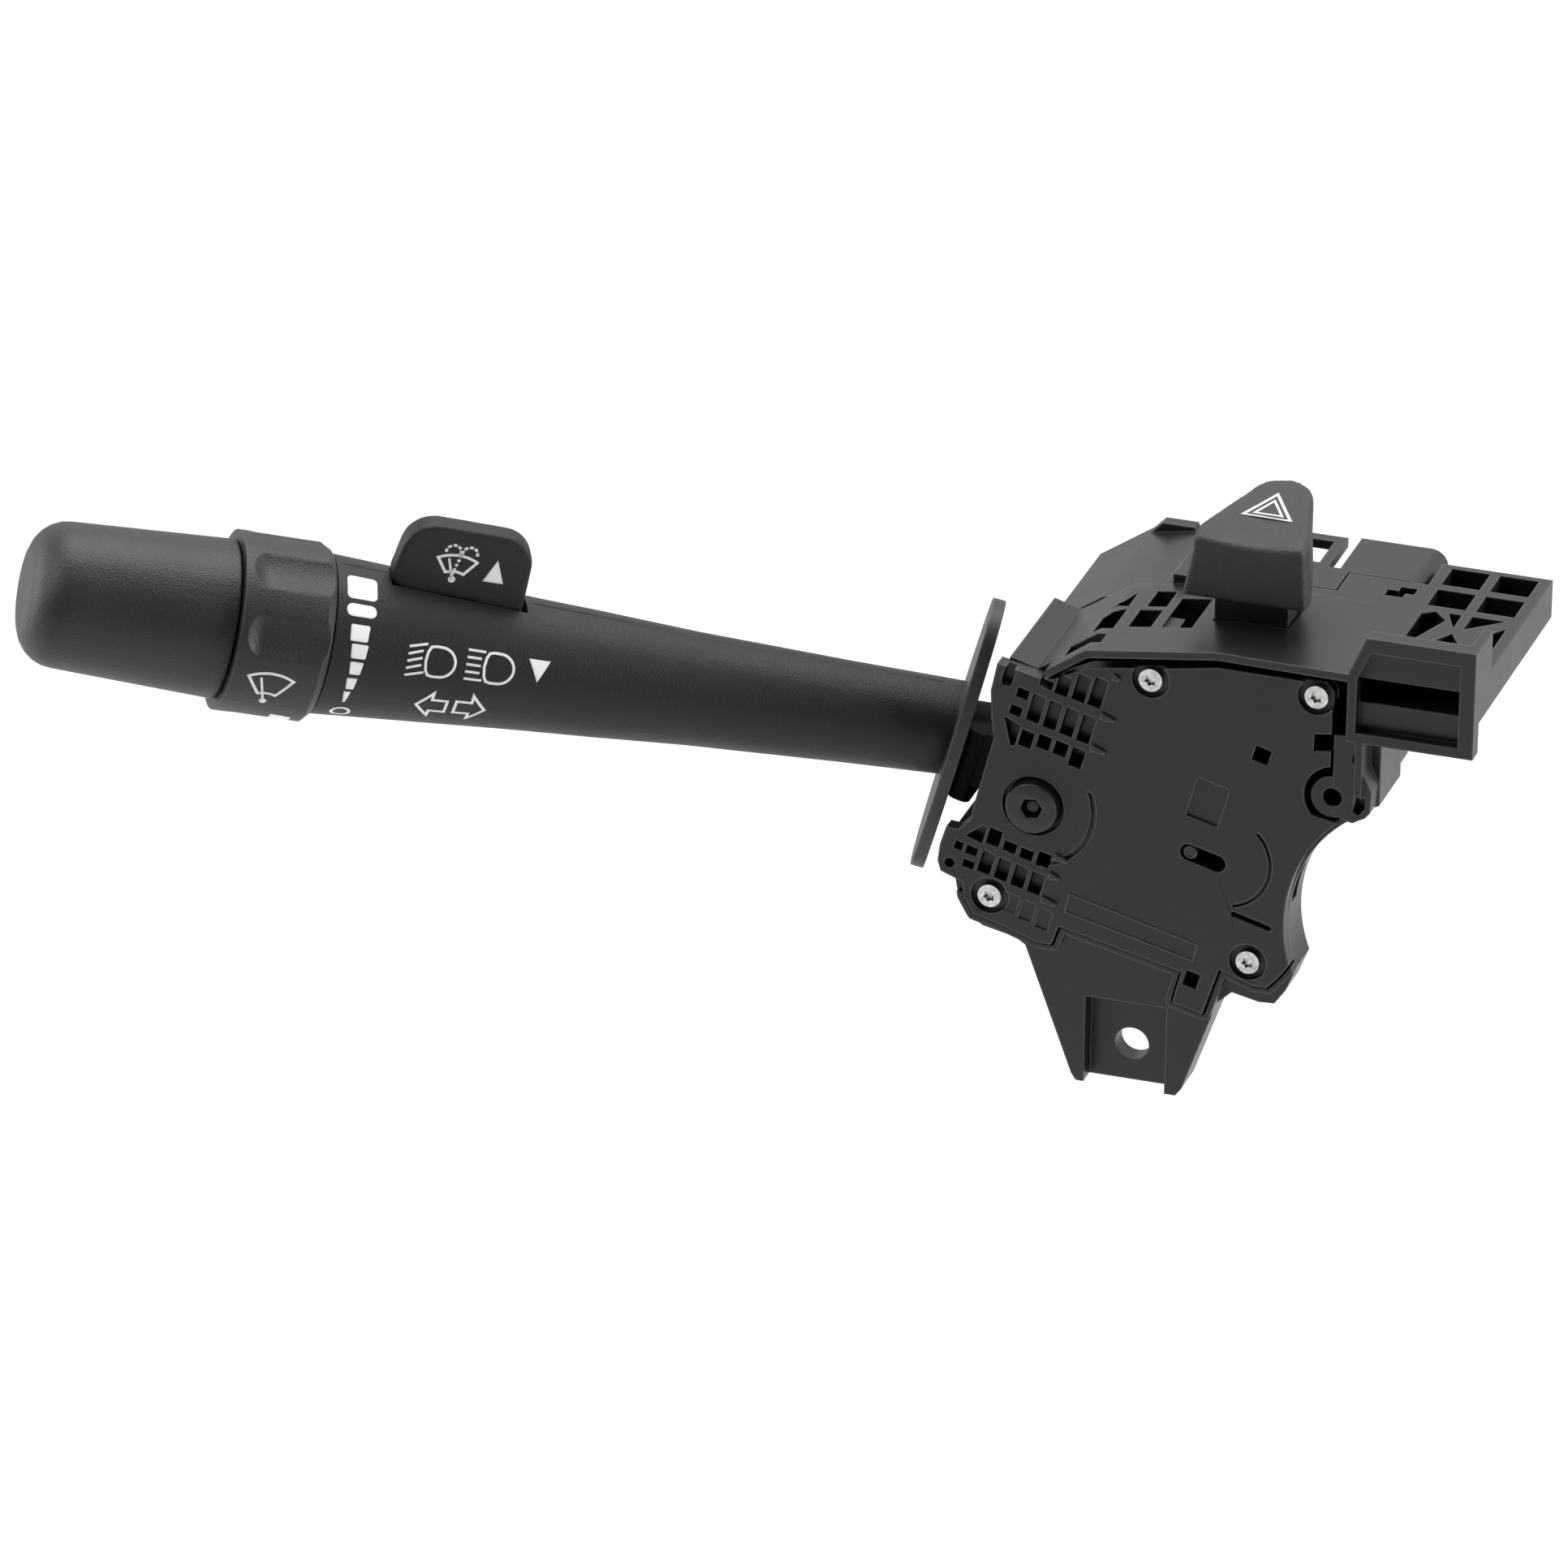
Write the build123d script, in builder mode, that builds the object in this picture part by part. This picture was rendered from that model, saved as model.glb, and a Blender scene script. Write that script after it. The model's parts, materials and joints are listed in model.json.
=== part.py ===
"""Combination stalk switch for a steering column, as an assembly of separate pieces.

Millimetres. X points right, Y points away from the driver and Z points up. The origin is the
centre of the mounting hole, on the back face of the bracket that bolts to the column.
"""

import math
import os

from build123d import *

# The switch mechanism is turned about Y against the level bracket and sockets
mechanism_turn = 15.0
pivot_x = -19.5
pivot_z = 52.4

# Depths along Y
cover_front_y = -12.5
cover_thickness = 3.5
rim_front_y = -13.2
rim_thickness = 1.6
foot_rim_height = 2.9
foot_rim_thickness = 1.1
foot_rim_top_z = 31.0
cover_gap = 0.45
wall = 2.2
clearance = 0.3
running_fit = 0.05
spring_wire_flats = 4
spring_turns = 4

# Lever axis
lever_depth_y = 4.5
lever_swing_to_driver = 26.0
lever_droop = 1.4
lever_flange_x = -20.5
lever_flange_z = 0.9
lever_length = 132.0
# Share of the lever's length, and the outer radius there
lever_shape = [(-0.0455, 9.3), (0.1818, 10.1), (0.4242, 11.3), (0.5758, 12.5), (0.6932, 13.3)]
lever_profile = [(lever_length * share, radius) for share, radius in lever_shape]
lever_end_radius = 15.9
lever_wall = 2.4
lever_bore = 6.0
lever_bore_depth = 20.0
root_barrel_height = 15.7
bulkhead_s = lever_length - 13.0

# Wiper ring and end knob
ring_length = 18.6
ring_radius = 17.9
ring_edge = 1.5
ring_hub_width = 9.0
ring_rim = 2.6
ring_flute_places = [22, 67, 157, 202, 247, 292, 337]
ring_flute_radius = 13.0
ring_flute_depth = 1.2
ring_flute_length = 17.0
ring_flute_end = 5.0
ring_gap = 0.35
knob_length = 40.0
knob_radius = 15.85
knob_tip_radius = 14.5
knob_nose = 7.5
knob_nose_flats = 6
spindle_radius = 8.0
spindle_bore = 5.4
spindle_into_lever = 8.0
spindle_into_knob = 24.0
board_radius = 13.0
board_thickness = 1.2
rotor_radius = 12.6
rotor_thickness = 1.6

# Shield flange of the lever
flange_half_depth = 13.5
flange_side_radius = 65.1
flange_end_radius = 9.5
flange_thickness = 2.6
flange_tilt = 12.0
flange_x = -20.2
flange_centre_z = -0.4

# Mounting bracket
mount_hole_radius = 3.5
bracket_web = 4.8
bracket_front_y = -9.0
bracket_bottom_z = -7.8
recess_left_x = -8.6
recess_right_x = 8.1
recess_top_z = 11.0

# Column cut-out and its boss
column_radius = 28.5
column_x = 61.0
column_z = 35.0
boss_x = 41.4
boss_z = 63.9
boss_hole_radius = 1.95
boss_radius = 4.4
boss_gap = 1.3

# Main housing
upper_back_y = 20.7
board_gap = 0.4
right_side_x = 47.5
upper_right_z = 52.0
top_right_z = 91.3
shelf_left_x = -1.7
shelf_back_y = 33.0
shelf_thickness = 3.0
floor_y = 17.0
low_floor_y = -2.2
bore_in_boss = 1.3
screw_boss_radius = 3.6
screw_boss_length = 15.0
screw_boss_web = 3.0

# Front socket and wing
socket_left_x = 44.0
socket_right_x = 69.7
socket_top_z = 99.6
socket_bottom_z = 76.9
socket_frame_depth = 3.8
socket_recess = 2.4
socket_border = 3.1
wing_left_x = 47.1
wing_back_y = 43.6
wing_height = 8.0
wing_floor = 1.4
wing_rail = 2.4
slot_bottom_z = 84.9
slot_top_z = 90.0
slot_depth = 14.0
gusset_back_y = -1.3

# Turn carrier and dimmer pivot
carrier_left_x = -9.0
carrier_right_x = 15.0
carrier_half_z = 9.4
carrier_front_y = -8.2
carrier_back_y = 16.2
fork_half_z = 6.3
fork_right_x = 6.0
trunnion_radius = 5.5
trunnion_recess = 0.6
rear_trunnion_radius = 4.0
rear_trunnion_length = 2.2
dimmer_pivot_x = -4.0
dimmer_pin_radius = 2.0
plunger_radius = 2.2
plunger_length = 9.0
plunger_tip_x = 17.4
plunger_bore_x = 7.0
cam_radius = 17.7
cam_notch_radius = 2.5
cam_notch_place = 16.4
turn_range = 7.0
contact_radius_low = 6.2
contact_radius_high = 12.2
dimmer_plunger_x = 2.0
dimmer_plunger_radius = 1.5
cavity_half_z = 12.6
cavity_right_x = 26.0
cavity_left_x = -11.8

# Hazard button
hazard_x = 19.5
hazard_front_y = -0.8
hazard_width = 22.8
hazard_length = 22.0
hazard_front_height = 13.0
hazard_rise = 6.0
hazard_dish = 0.8
hazard_edge = 0.9
hazard_lift = 5.8
hazard_nose_radius = 6.8
hazard_nose_shift = 1.7
stem_front_y = 3.0
stem_width = 15.0
stem_length = 10.0
stem_bottom_z = 68.0
hazard_spring_radius = 3.0
hazard_spring_top_z = 73.0
hazard_seat_z = 60.2
hazard_wire = 0.45

# Cancel pawl
cancel_travel = 5.5
cancel_slot_x = 32.6
cancel_slot_z = 3.6
cancel_pin_radius = 1.5
cancel_width = 8.0
cancel_thickness = 3.0
cancel_tail_x = 28.0
cancel_nose_x = 53.3

# Washer paddle
paddle_front = 2.6
paddle_thickness = 5.0
paddle_pivot_height = 10.0
paddle_foot_height = 7.4
paddle_pin_radius = 1.2
paddle_slot_swing = 1.1
paddle_length = 28.7
paddle_setback = 9.7
paddle_far_s = lever_length - paddle_setback
paddle_near_s = paddle_far_s - paddle_length
# Outline from the near end of the paddle, and up from the lever's axis
paddle_shape = [
    (0.2, paddle_foot_height),
    (1.0, 28.7),
    (26.3, 29.3),
    (27.9, 15.4),
    (24.4, 13.2),
    (24.0, paddle_foot_height),
]
paddle_corner = 6.4
paddle_heel = 2.6
paddle_slot_length = 27.3
paddle_outline = [(paddle_near_s + s, up) for s, up in paddle_shape]
paddle_pin_over = 2.5
paddle_window_low = paddle_near_s + 10.4
paddle_window_length = 7.0
paddle_spring_radius = 1.75

# Cover screws
screw_head_radius = 2.4
screw_head_height = 1.5
screw_shank_radius = 1.25
screw_lobe_radius = 1.35
screw_lobe_valley = 0.9
screw_length = 9.0
screw_recess_radius = 3.8
screw_recess_depth = 1.4
screw_places = [(3.8, 83.4), (37.6, 85.1), (-28.0, 31.4), (25.4, 25.6)]

os.makedirs("parts", exist_ok=True)

# Directions of the turned mechanism
turn = math.radians(mechanism_turn)
along = Vector(math.cos(turn), 0, -math.sin(turn))
across = Vector(math.sin(turn), 0, math.cos(turn))
inwards = Vector(0, 1, 0)
pivot = Vector(pivot_x, 0, pivot_z)
cover_back_y = cover_front_y + cover_thickness


def place(x, y, z):
    """A point given along the turned mechanism, measured from the turn pivot."""
    return pivot + along * x + inwards * y + across * z


def tilted(y):
    """The turned mechanism's plane at one depth, facing the driver."""
    return Plane(origin=pivot + inwards * y, x_dir=along, z_dir=(0, -1, 0))


def level(y):
    """The level plane at one depth, facing the driver."""
    return Plane(origin=(0, y, 0), x_dir=(1, 0, 0), z_dir=(0, -1, 0))


def flat(z):
    """The horizontal plane at one height."""
    return Plane.XY.offset(z)


def keep(part, name):
    """Labels a finished piece and writes it."""
    part.label = name
    export_step(part, "parts/" + name + ".step")


def level_block(x_low, x_high, y_low, y_high, z_low, z_high, mode=Mode.ADD):
    """A box between level limits, joined to or cut from the part in progress."""
    with BuildSketch(level(y_low)) as face:
        with Locations(((x_low + x_high) / 2, (z_low + z_high) / 2)):
            Rectangle(x_high - x_low, z_high - z_low)
    extrude(face.sketch, amount=-(y_high - y_low), mode=mode)


def tilted_block(x_low, x_high, y_low, y_high, z_low, z_high, mode=Mode.ADD):
    """A box between limits of the turned mechanism."""
    with BuildSketch(tilted(y_low)) as face:
        with Locations(((x_low + x_high) / 2, (z_low + z_high) / 2)):
            Rectangle(x_high - x_low, z_high - z_low)
    extrude(face.sketch, amount=-(y_high - y_low), mode=mode)


def outline_slab(points, y_low, y_high, mode=Mode.ADD):
    """A slab with a level outline of straight edges."""
    with BuildSketch(level(y_low)) as face:
        with BuildLine():
            Polyline(*points, close=True)
        make_face()
    extrude(face.sketch, amount=-(y_high - y_low), mode=mode)


def round_bar(centre, direction, radius, length, mode=Mode.ADD):
    """A round bar from a point along a direction."""
    with BuildSketch(Plane(origin=centre, z_dir=direction)) as face:
        Circle(radius)
    extrude(face.sketch, amount=length, mode=mode)


def coil_spring(start, direction, radius, wire, length, turns):
    """A compression spring from a point along a direction, its wire drawn with few flats."""
    with BuildPart() as spring:
        with BuildLine() as path:
            Helix(pitch=length / turns, height=length, radius=radius,
                  center=tuple(start), direction=tuple(direction))
        with BuildSketch(Plane(origin=path.line @ 0, z_dir=path.line % 0)):
            RegularPolygon(wire, spring_wire_flats)
        sweep(is_frenet=True)
    return spring


def column_edge(z, radius=column_radius):
    """The X of the column cut-out's edge at a height."""
    return column_x - math.sqrt(radius ** 2 - (z - column_z) ** 2)


def turned_point(x, z):
    """Level X and Z of a point given along the turned mechanism."""
    spot = place(x, 0, z)
    return (spot.X, spot.Z)


def turned_local(x, z):
    """Coordinates along the turned mechanism of a level X and Z."""
    offset = Vector(x, 0, z) - pivot
    return (offset.dot(along), offset.dot(across))


def rear_blade_limits():
    """Limits of the terminal blades in the two rear sockets."""
    limits = []
    for z in (68.5, 74.0):
        for step in range(4):
            x = -21.5 + 4.4 * step
            limits.append((x - 0.9, x + 0.9, 36.0, 54.0, z - 0.35, z + 0.35))
    for step in range(4):
        x = 32.6 + 3.4 * step
        limits.append((x - 0.9, x + 0.9, 34.6, 46.4, 83.0, 83.7))
    return limits


def sector_outlines():
    """Three contact sectors round the turn pivot, in the sketch in progress."""
    for centre_angle in (-27, 0, 27):
        low = math.radians(centre_angle - 11)
        middle = math.radians(centre_angle)
        high = math.radians(centre_angle + 11)
        inner = contact_radius_low
        outer = contact_radius_high
        with BuildLine() as edge:
            ThreePointArc((outer * math.cos(low), outer * math.sin(low)),
                          (outer * math.cos(middle), outer * math.sin(middle)),
                          (outer * math.cos(high), outer * math.sin(high)))
            Line((outer * math.cos(high), outer * math.sin(high)),
                 (inner * math.cos(high), inner * math.sin(high)))
            ThreePointArc((inner * math.cos(high), inner * math.sin(high)),
                          (inner * math.cos(middle), inner * math.sin(middle)),
                          (inner * math.cos(low), inner * math.sin(low)))
            Line((inner * math.cos(low), inner * math.sin(low)),
                 (outer * math.cos(low), outer * math.sin(low)))
        make_face(edge.edges())


# Outline of the housing, seen by the driver
arc_top_z = 57.5
arc_bottom_z = 24.5
left_wall_x = cavity_left_x - wall
housing_top = [
    turned_point(left_wall_x, 27.2),
    (-20.4, 80.7),
    (-18.4, 81.9),
    (-9.6, 88.0),
    (17.3, 91.7),
    (socket_left_x, top_right_z),
    (right_side_x, top_right_z),
    (right_side_x, 60.5),
    (column_edge(arc_top_z), arc_top_z),
]
housing_foot = [
    (column_edge(arc_bottom_z), arc_bottom_z),
    (32.4, 19.0),
    (30.2, 15.8),
    (27.0, 15.6),
    (21.4, 16.8),
    (18.5, 14.1),
    (11.6, -6.2),
    (10.4, bracket_bottom_z),
    (-10.2, bracket_bottom_z),
    (-11.2, -6.4),
    (-21.4, 20.2),
    (-23.5, 21.5),
    (-30.3, 23.0),
    (-34.2, 25.6),
    (-35.6, 29.5),
    (-36.2, 32.6),
    turned_point(left_wall_x, -19.5),
]


def housing_outline():
    """The closed outline of the housing, with the round cut-out for the column."""
    with BuildLine() as edge:
        Polyline(*housing_top)
        ThreePointArc(housing_top[-1], (column_x - column_radius, column_z), housing_foot[0])
        Polyline(*housing_foot, housing_top[0])
    make_face(edge.edges())


# Outline of the cover, seen by the driver
cover_top = [
    (-27.6, 82.1),
    (-18.6, 80.2),
    (-15.6, 80.7),
    (-8.9, 84.0),
    (-1.3, 85.2),
    (7.4, 86.4),
    (17.3, 88.2),
    (33.6, 88.1),
    (39.2, 88.1),
    (40.9, 86.2),
    (40.9, 77.6),
    (37.4, 77.1),
    (37.4, 73.5),
    (40.9, 73.9),
    (40.9, 70.6),
]
cover_shoulder = [(37.4, 59.6), (42.6, 58.6)]
cover_foot = [
    (column_edge(26.3), 26.3),
    (31.9, 23.4),
    (29.4, 20.6),
    (26.6, 20.6),
    (19.6, 23.0),
    (16.4, 12.7),
    (10.2, 14.3),
    (11.9, 21.2),
    (-13.6, 27.0),
    (-15.0, 22.8),
    (-18.0, 22.8),
    (-25.5, 25.4),
    (-31.3, 26.8),
    (-33.3, 30.2),
    (-33.8, 33.6),
    (-38.2, 35.2),
    (-38.9, 37.4),
    (-38.5, 41.0),
    (-37.3, 45.0),
    (-34.9, 44.8),
    (-32.3, 47.4),
    (-31.6, 51.0),
    (-27.9, 66.0),
    (-28.5, 70.0),
    (-28.8, 76.0),
]


def cover_outline():
    """The closed outline of the cover, round at the column's boss and cut-out."""
    with BuildLine() as edge:
        Polyline(*cover_top)
        ThreePointArc(cover_top[-1], (boss_x - boss_radius - boss_gap, boss_z), cover_shoulder[0])
        Polyline(*cover_shoulder)
        ThreePointArc(cover_shoulder[-1], (column_x - column_radius, column_z), cover_foot[0])
        Polyline(*cover_foot, cover_top[0])
    make_face(edge.edges())


# Main housing
wing_bottom_z = top_right_z - wing_height
upper_part = [point for point in housing_top[:8]] + [
    (right_side_x, upper_right_z),
    turned_point(cavity_right_x + wall, -cavity_half_z - wall),
    turned_point(left_wall_x, -cavity_half_z - wall),
]
frame_outline = [
    (socket_left_x, top_right_z),
    (socket_left_x + 3.5, socket_top_z),
    (socket_right_x, socket_top_z),
    (socket_right_x, socket_bottom_z),
    (socket_left_x + 3.6, socket_bottom_z),
    (socket_left_x, socket_bottom_z),
]
frame_recess = [
    (socket_left_x + 1.8, socket_bottom_z + 2.1),
    (socket_left_x + 1.9, top_right_z - 0.8),
    (socket_left_x + 4.5, socket_top_z - socket_border),
    (socket_right_x - socket_border, socket_top_z - socket_border),
    (socket_right_x - socket_border, socket_bottom_z + 2.1),
]
lug_back_y = -7.0
lug_outline = [
    (boss_x, 77.5),
    (47.0, 77.5),
    (47.0, 75.4),
    (45.6, 74.2),
    (45.2, 72.6),
    (45.9, 71.0),
    (47.6, 69.8),
    (49.3, 66.1),
    (49.1, 61.6),
    (46.8, 58.8),
    (43.6, 59.4),
    (boss_x, 61.0),
]
lug_pocket = [(46.6, 65.4), (48.2, 64.6), (48.0, 62.4), (46.8, 60.8), (45.6, 61.6)]
frame_back_y = rim_front_y + socket_frame_depth
recess_floor_y = rim_front_y + socket_recess
top_openings = [
    [(-10.9, 9.2), (-9.0, 11.6), (-7.4, 16.4), (-7.4, 9.2)],
    [(-3.6, 9.2), (-3.6, 17.0), (0.4, 17.0), (0.4, 9.2)],
    [(-11.4, -2.0), (-11.4, 5.0), (-7.2, 8.0), (-7.2, -2.0)],
    [(-4.4, -1.0), (-4.4, 7.6), (0.2, 7.6), (0.2, -1.0)],
    [(2.4, -1.0), (2.4, 13.6), (8.6, 13.6), (8.6, -1.0)],
    [(-14.8, -9.6), (-14.8, -4.6), (-7.6, -4.6), (-7.6, -9.0)],
]

with BuildPart() as housing:
    with BuildSketch(level(bracket_front_y)):
        housing_outline()
    extrude(amount=bracket_front_y)
    outline_slab(upper_part, 0, upper_back_y)
    # Rim that stands round the cover along the top and the right side
    with BuildSketch(level(rim_front_y)):
        housing_outline()
        offset(amount=-rim_thickness, kind=Kind.INTERSECTION, mode=Mode.SUBTRACT)
        with Locations((15.3, 78.5)):
            Rectangle(65.4, 30.0, mode=Mode.INTERSECT)
    extrude(amount=rim_front_y - bracket_front_y)
    # Low rim round the foot of the cover
    with BuildSketch(level(bracket_front_y - foot_rim_height)):
        cover_outline()
        offset(amount=cover_gap + foot_rim_thickness, kind=Kind.ARC, mode=Mode.REPLACE)
        with BuildSketch(level(bracket_front_y - foot_rim_height), mode=Mode.SUBTRACT):
            cover_outline()
            offset(amount=cover_gap, kind=Kind.ARC, mode=Mode.REPLACE)
        with BuildSketch(level(bracket_front_y - foot_rim_height), mode=Mode.INTERSECT):
            housing_outline()
        with Locations((0, foot_rim_top_z / 2)):
            Rectangle(80.0, foot_rim_top_z, mode=Mode.INTERSECT)
    extrude(amount=-foot_rim_height)
    # Cavities for the mechanism: a shallow one, the carrier's and the top one
    for low, high, bottom, top, depth_low, depth_high in (
        (cavity_left_x, 60.0, -19.0, cavity_half_z, bracket_front_y, low_floor_y),
        (cavity_left_x, 90.0, 14.8, 60.0, bracket_front_y, upper_back_y),
    ):
        with BuildSketch(level(depth_low)) as cavity:
            housing_outline()
            offset(amount=-wall, kind=Kind.INTERSECTION, mode=Mode.REPLACE)
            with BuildSketch(level(depth_low), mode=Mode.INTERSECT):
                corners = [(low, bottom), (high, bottom), (high, top), (low, top)]
                with BuildLine():
                    Polyline(*[turned_point(*corner) for corner in corners], close=True)
                make_face()
        extrude(amount=-(depth_high - depth_low), mode=Mode.SUBTRACT)
    tilted_block(cavity_left_x, cavity_right_x, bracket_front_y, floor_y,
                 -cavity_half_z, cavity_half_z, Mode.SUBTRACT)
    tilted_block(left_wall_x - 1, cavity_left_x, bracket_front_y, floor_y,
                 -cavity_half_z, cavity_half_z, Mode.SUBTRACT)
    # Bracket: recess between the two legs, and the mounting hole
    level_block(recess_left_x, recess_right_x, bracket_front_y, -bracket_web,
                bracket_bottom_z - 1, recess_top_z, Mode.SUBTRACT)
    round_bar((0, 1, 0), (0, -1, 0), mount_hole_radius, bracket_web + 2, Mode.SUBTRACT)
    # Shelf behind the top, and the wing
    level_block(shelf_left_x, right_side_x, upper_back_y, shelf_back_y,
                top_right_z - shelf_thickness, top_right_z)
    level_block(socket_left_x, socket_right_x, frame_back_y, wing_back_y,
                wing_bottom_z, top_right_z)
    level_block(socket_left_x, wing_left_x, shelf_back_y, wing_back_y + 1,
                wing_bottom_z - 1, top_right_z + 1, Mode.SUBTRACT)
    # Socket frame, its gusset and the boss beside the column
    outline_slab(frame_outline, rim_front_y, frame_back_y)
    level_block(socket_right_x - 2, socket_right_x, frame_back_y, gusset_back_y,
                top_right_z, socket_top_z)
    outline_slab(frame_recess, rim_front_y - 1, recess_floor_y, Mode.SUBTRACT)
    level_block(socket_left_x + 1.9, socket_right_x - socket_border, recess_floor_y,
                recess_floor_y + slot_depth, slot_bottom_z, slot_top_z, Mode.SUBTRACT)
    # Lattice of the wing
    cell_columns = [(wing_left_x + wing_rail, 57.3), (59.4, socket_right_x - wing_rail)]
    for x_low, x_high in cell_columns:
        for y_low, y_high in ((23.8, 31.6), (34.0, wing_back_y - 1.5)):
            level_block(x_low, x_high, y_low, y_high,
                        wing_bottom_z + wing_floor, top_right_z + 1, Mode.SUBTRACT)
    brace_cells = [
        [(49.5, 7.4), (49.5, 19.6), (52.0, 21.4), (55.0, 18.0), (51.4, 7.4)],
        [(54.6, 21.4), (57.3, 21.4), (57.3, 15.0)],
        [(59.4, 15.0), (59.4, 21.4), (66.4, 21.4)],
        [(67.3, 8.0), (67.3, 18.0), (63.6, 13.4)],
        [(54.6, 7.4), (57.8, 12.4), (60.6, 7.4)],
    ]
    for cell in brace_cells:
        with BuildSketch(flat(top_right_z + 1)):
            with BuildLine():
                Polyline(*cell, close=True)
            make_face()
        extrude(amount=-(wing_height - wing_floor + 1), mode=Mode.SUBTRACT)
    # Openings in the top, the stem's hole and the keyed hole
    for opening in top_openings:
        with BuildSketch(flat(93.0)):
            with BuildLine():
                Polyline(*opening, close=True)
            make_face()
        extrude(amount=-13.0, mode=Mode.SUBTRACT)
    level_block(hazard_x - stem_width / 2 - clearance, hazard_x + stem_width / 2 + clearance,
                stem_front_y - clearance, stem_front_y + stem_length + clearance,
                86.0, 93.0, Mode.SUBTRACT)
    level_block(40.2, 44.0, 25.4, 28.2, 86.0, 93.0, Mode.SUBTRACT)
    level_block(42.4, 45.8, 27.4, 30.2, 80.0, 93.0, Mode.SUBTRACT)
    level_block(20.0, 31.0, 24.2, shelf_back_y + 1, 86.0, 93.0, Mode.SUBTRACT)
    # Bosses for the cover screws, and the column boss
    for x, z in screw_places[:2]:
        round_bar((x, bracket_front_y, z), inwards, screw_boss_radius, screw_boss_length)
        level_block(x - screw_boss_web / 2, x + screw_boss_web / 2, bracket_front_y,
                    bracket_front_y + screw_boss_length, z, z + 5.4)
    round_bar((screw_places[3][0], bracket_front_y, screw_places[3][1]), inwards,
              screw_boss_radius, -bracket_front_y)
    round_bar((boss_x, cover_front_y + 0.6, boss_z), (0, 1, 0), boss_radius, 12.0)
    level_block(boss_x, 49.6, lug_back_y, 8.0, 60.6, 77.5)
    outline_slab(lug_outline, cover_front_y + 0.4, lug_back_y)
    outline_slab(lug_pocket, cover_front_y - 1, lug_back_y - 2.4, Mode.SUBTRACT)
    round_bar((column_x, -20, column_z), (0, 1, 0), column_radius, 60, Mode.SUBTRACT)
    for x, z in screw_places:
        round_bar((x, bracket_front_y - 1, z), (0, 1, 0), bore_in_boss, 9.4, Mode.SUBTRACT)
    round_bar((boss_x, cover_front_y - 1, boss_z), (0, 1, 0), boss_hole_radius, 30, Mode.SUBTRACT)
    # Bearing for the rear trunnion of the carrier
    round_bar(place(0, floor_y - 1, 0), inwards, rear_trunnion_radius + running_fit,
              rear_trunnion_length + 1.3, Mode.SUBTRACT)
    # Window through which the cancel pawl reaches the column
    tilted_block(40.0, 60.0, cover_back_y + 1.2, cover_back_y + 1.2 + cancel_thickness + 2 * clearance,
                 cancel_slot_z - cancel_width / 2 - clearance,
                 cancel_slot_z + cancel_width / 2 + clearance, Mode.SUBTRACT)
    # Seat of the hazard spring
    round_bar((hazard_x, stem_front_y + stem_length / 2, hazard_seat_z - 5.6), (0, 0, 1),
              hazard_spring_radius + 1.4, 5.6)
    # Seats of the contact sectors
    with BuildSketch(tilted(floor_y - 1)) as seats:
        sector_outlines()
    extrude(seats.sketch, amount=-1.4, mode=Mode.SUBTRACT)
keep(housing.part, "main_housing")

# Front cover, lying on the housing inside its rim
grid_pitch = 3.58
grid_first_x = -5.4
pocket_width = 2.7
pocket_depth = 2.3
trunnion_recess_radius = 6.3
trunnion_recess_depth = 1.5
plateau_radius = 12.0
plateau_step = 0.8
step_centre = (19.6, 46.8)
step_radius = 9.5


def cover_cells(rows, depth):
    """Cuts rows of cells, each given as centre, width and height, into the cover."""
    with BuildSketch(tilted(cover_front_y)) as cells:
        for x, z, width, height in rows:
            with Locations((x, z)):
                Rectangle(width, height)
    extrude(cells.sketch, amount=-depth, mode=Mode.SUBTRACT)


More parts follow.
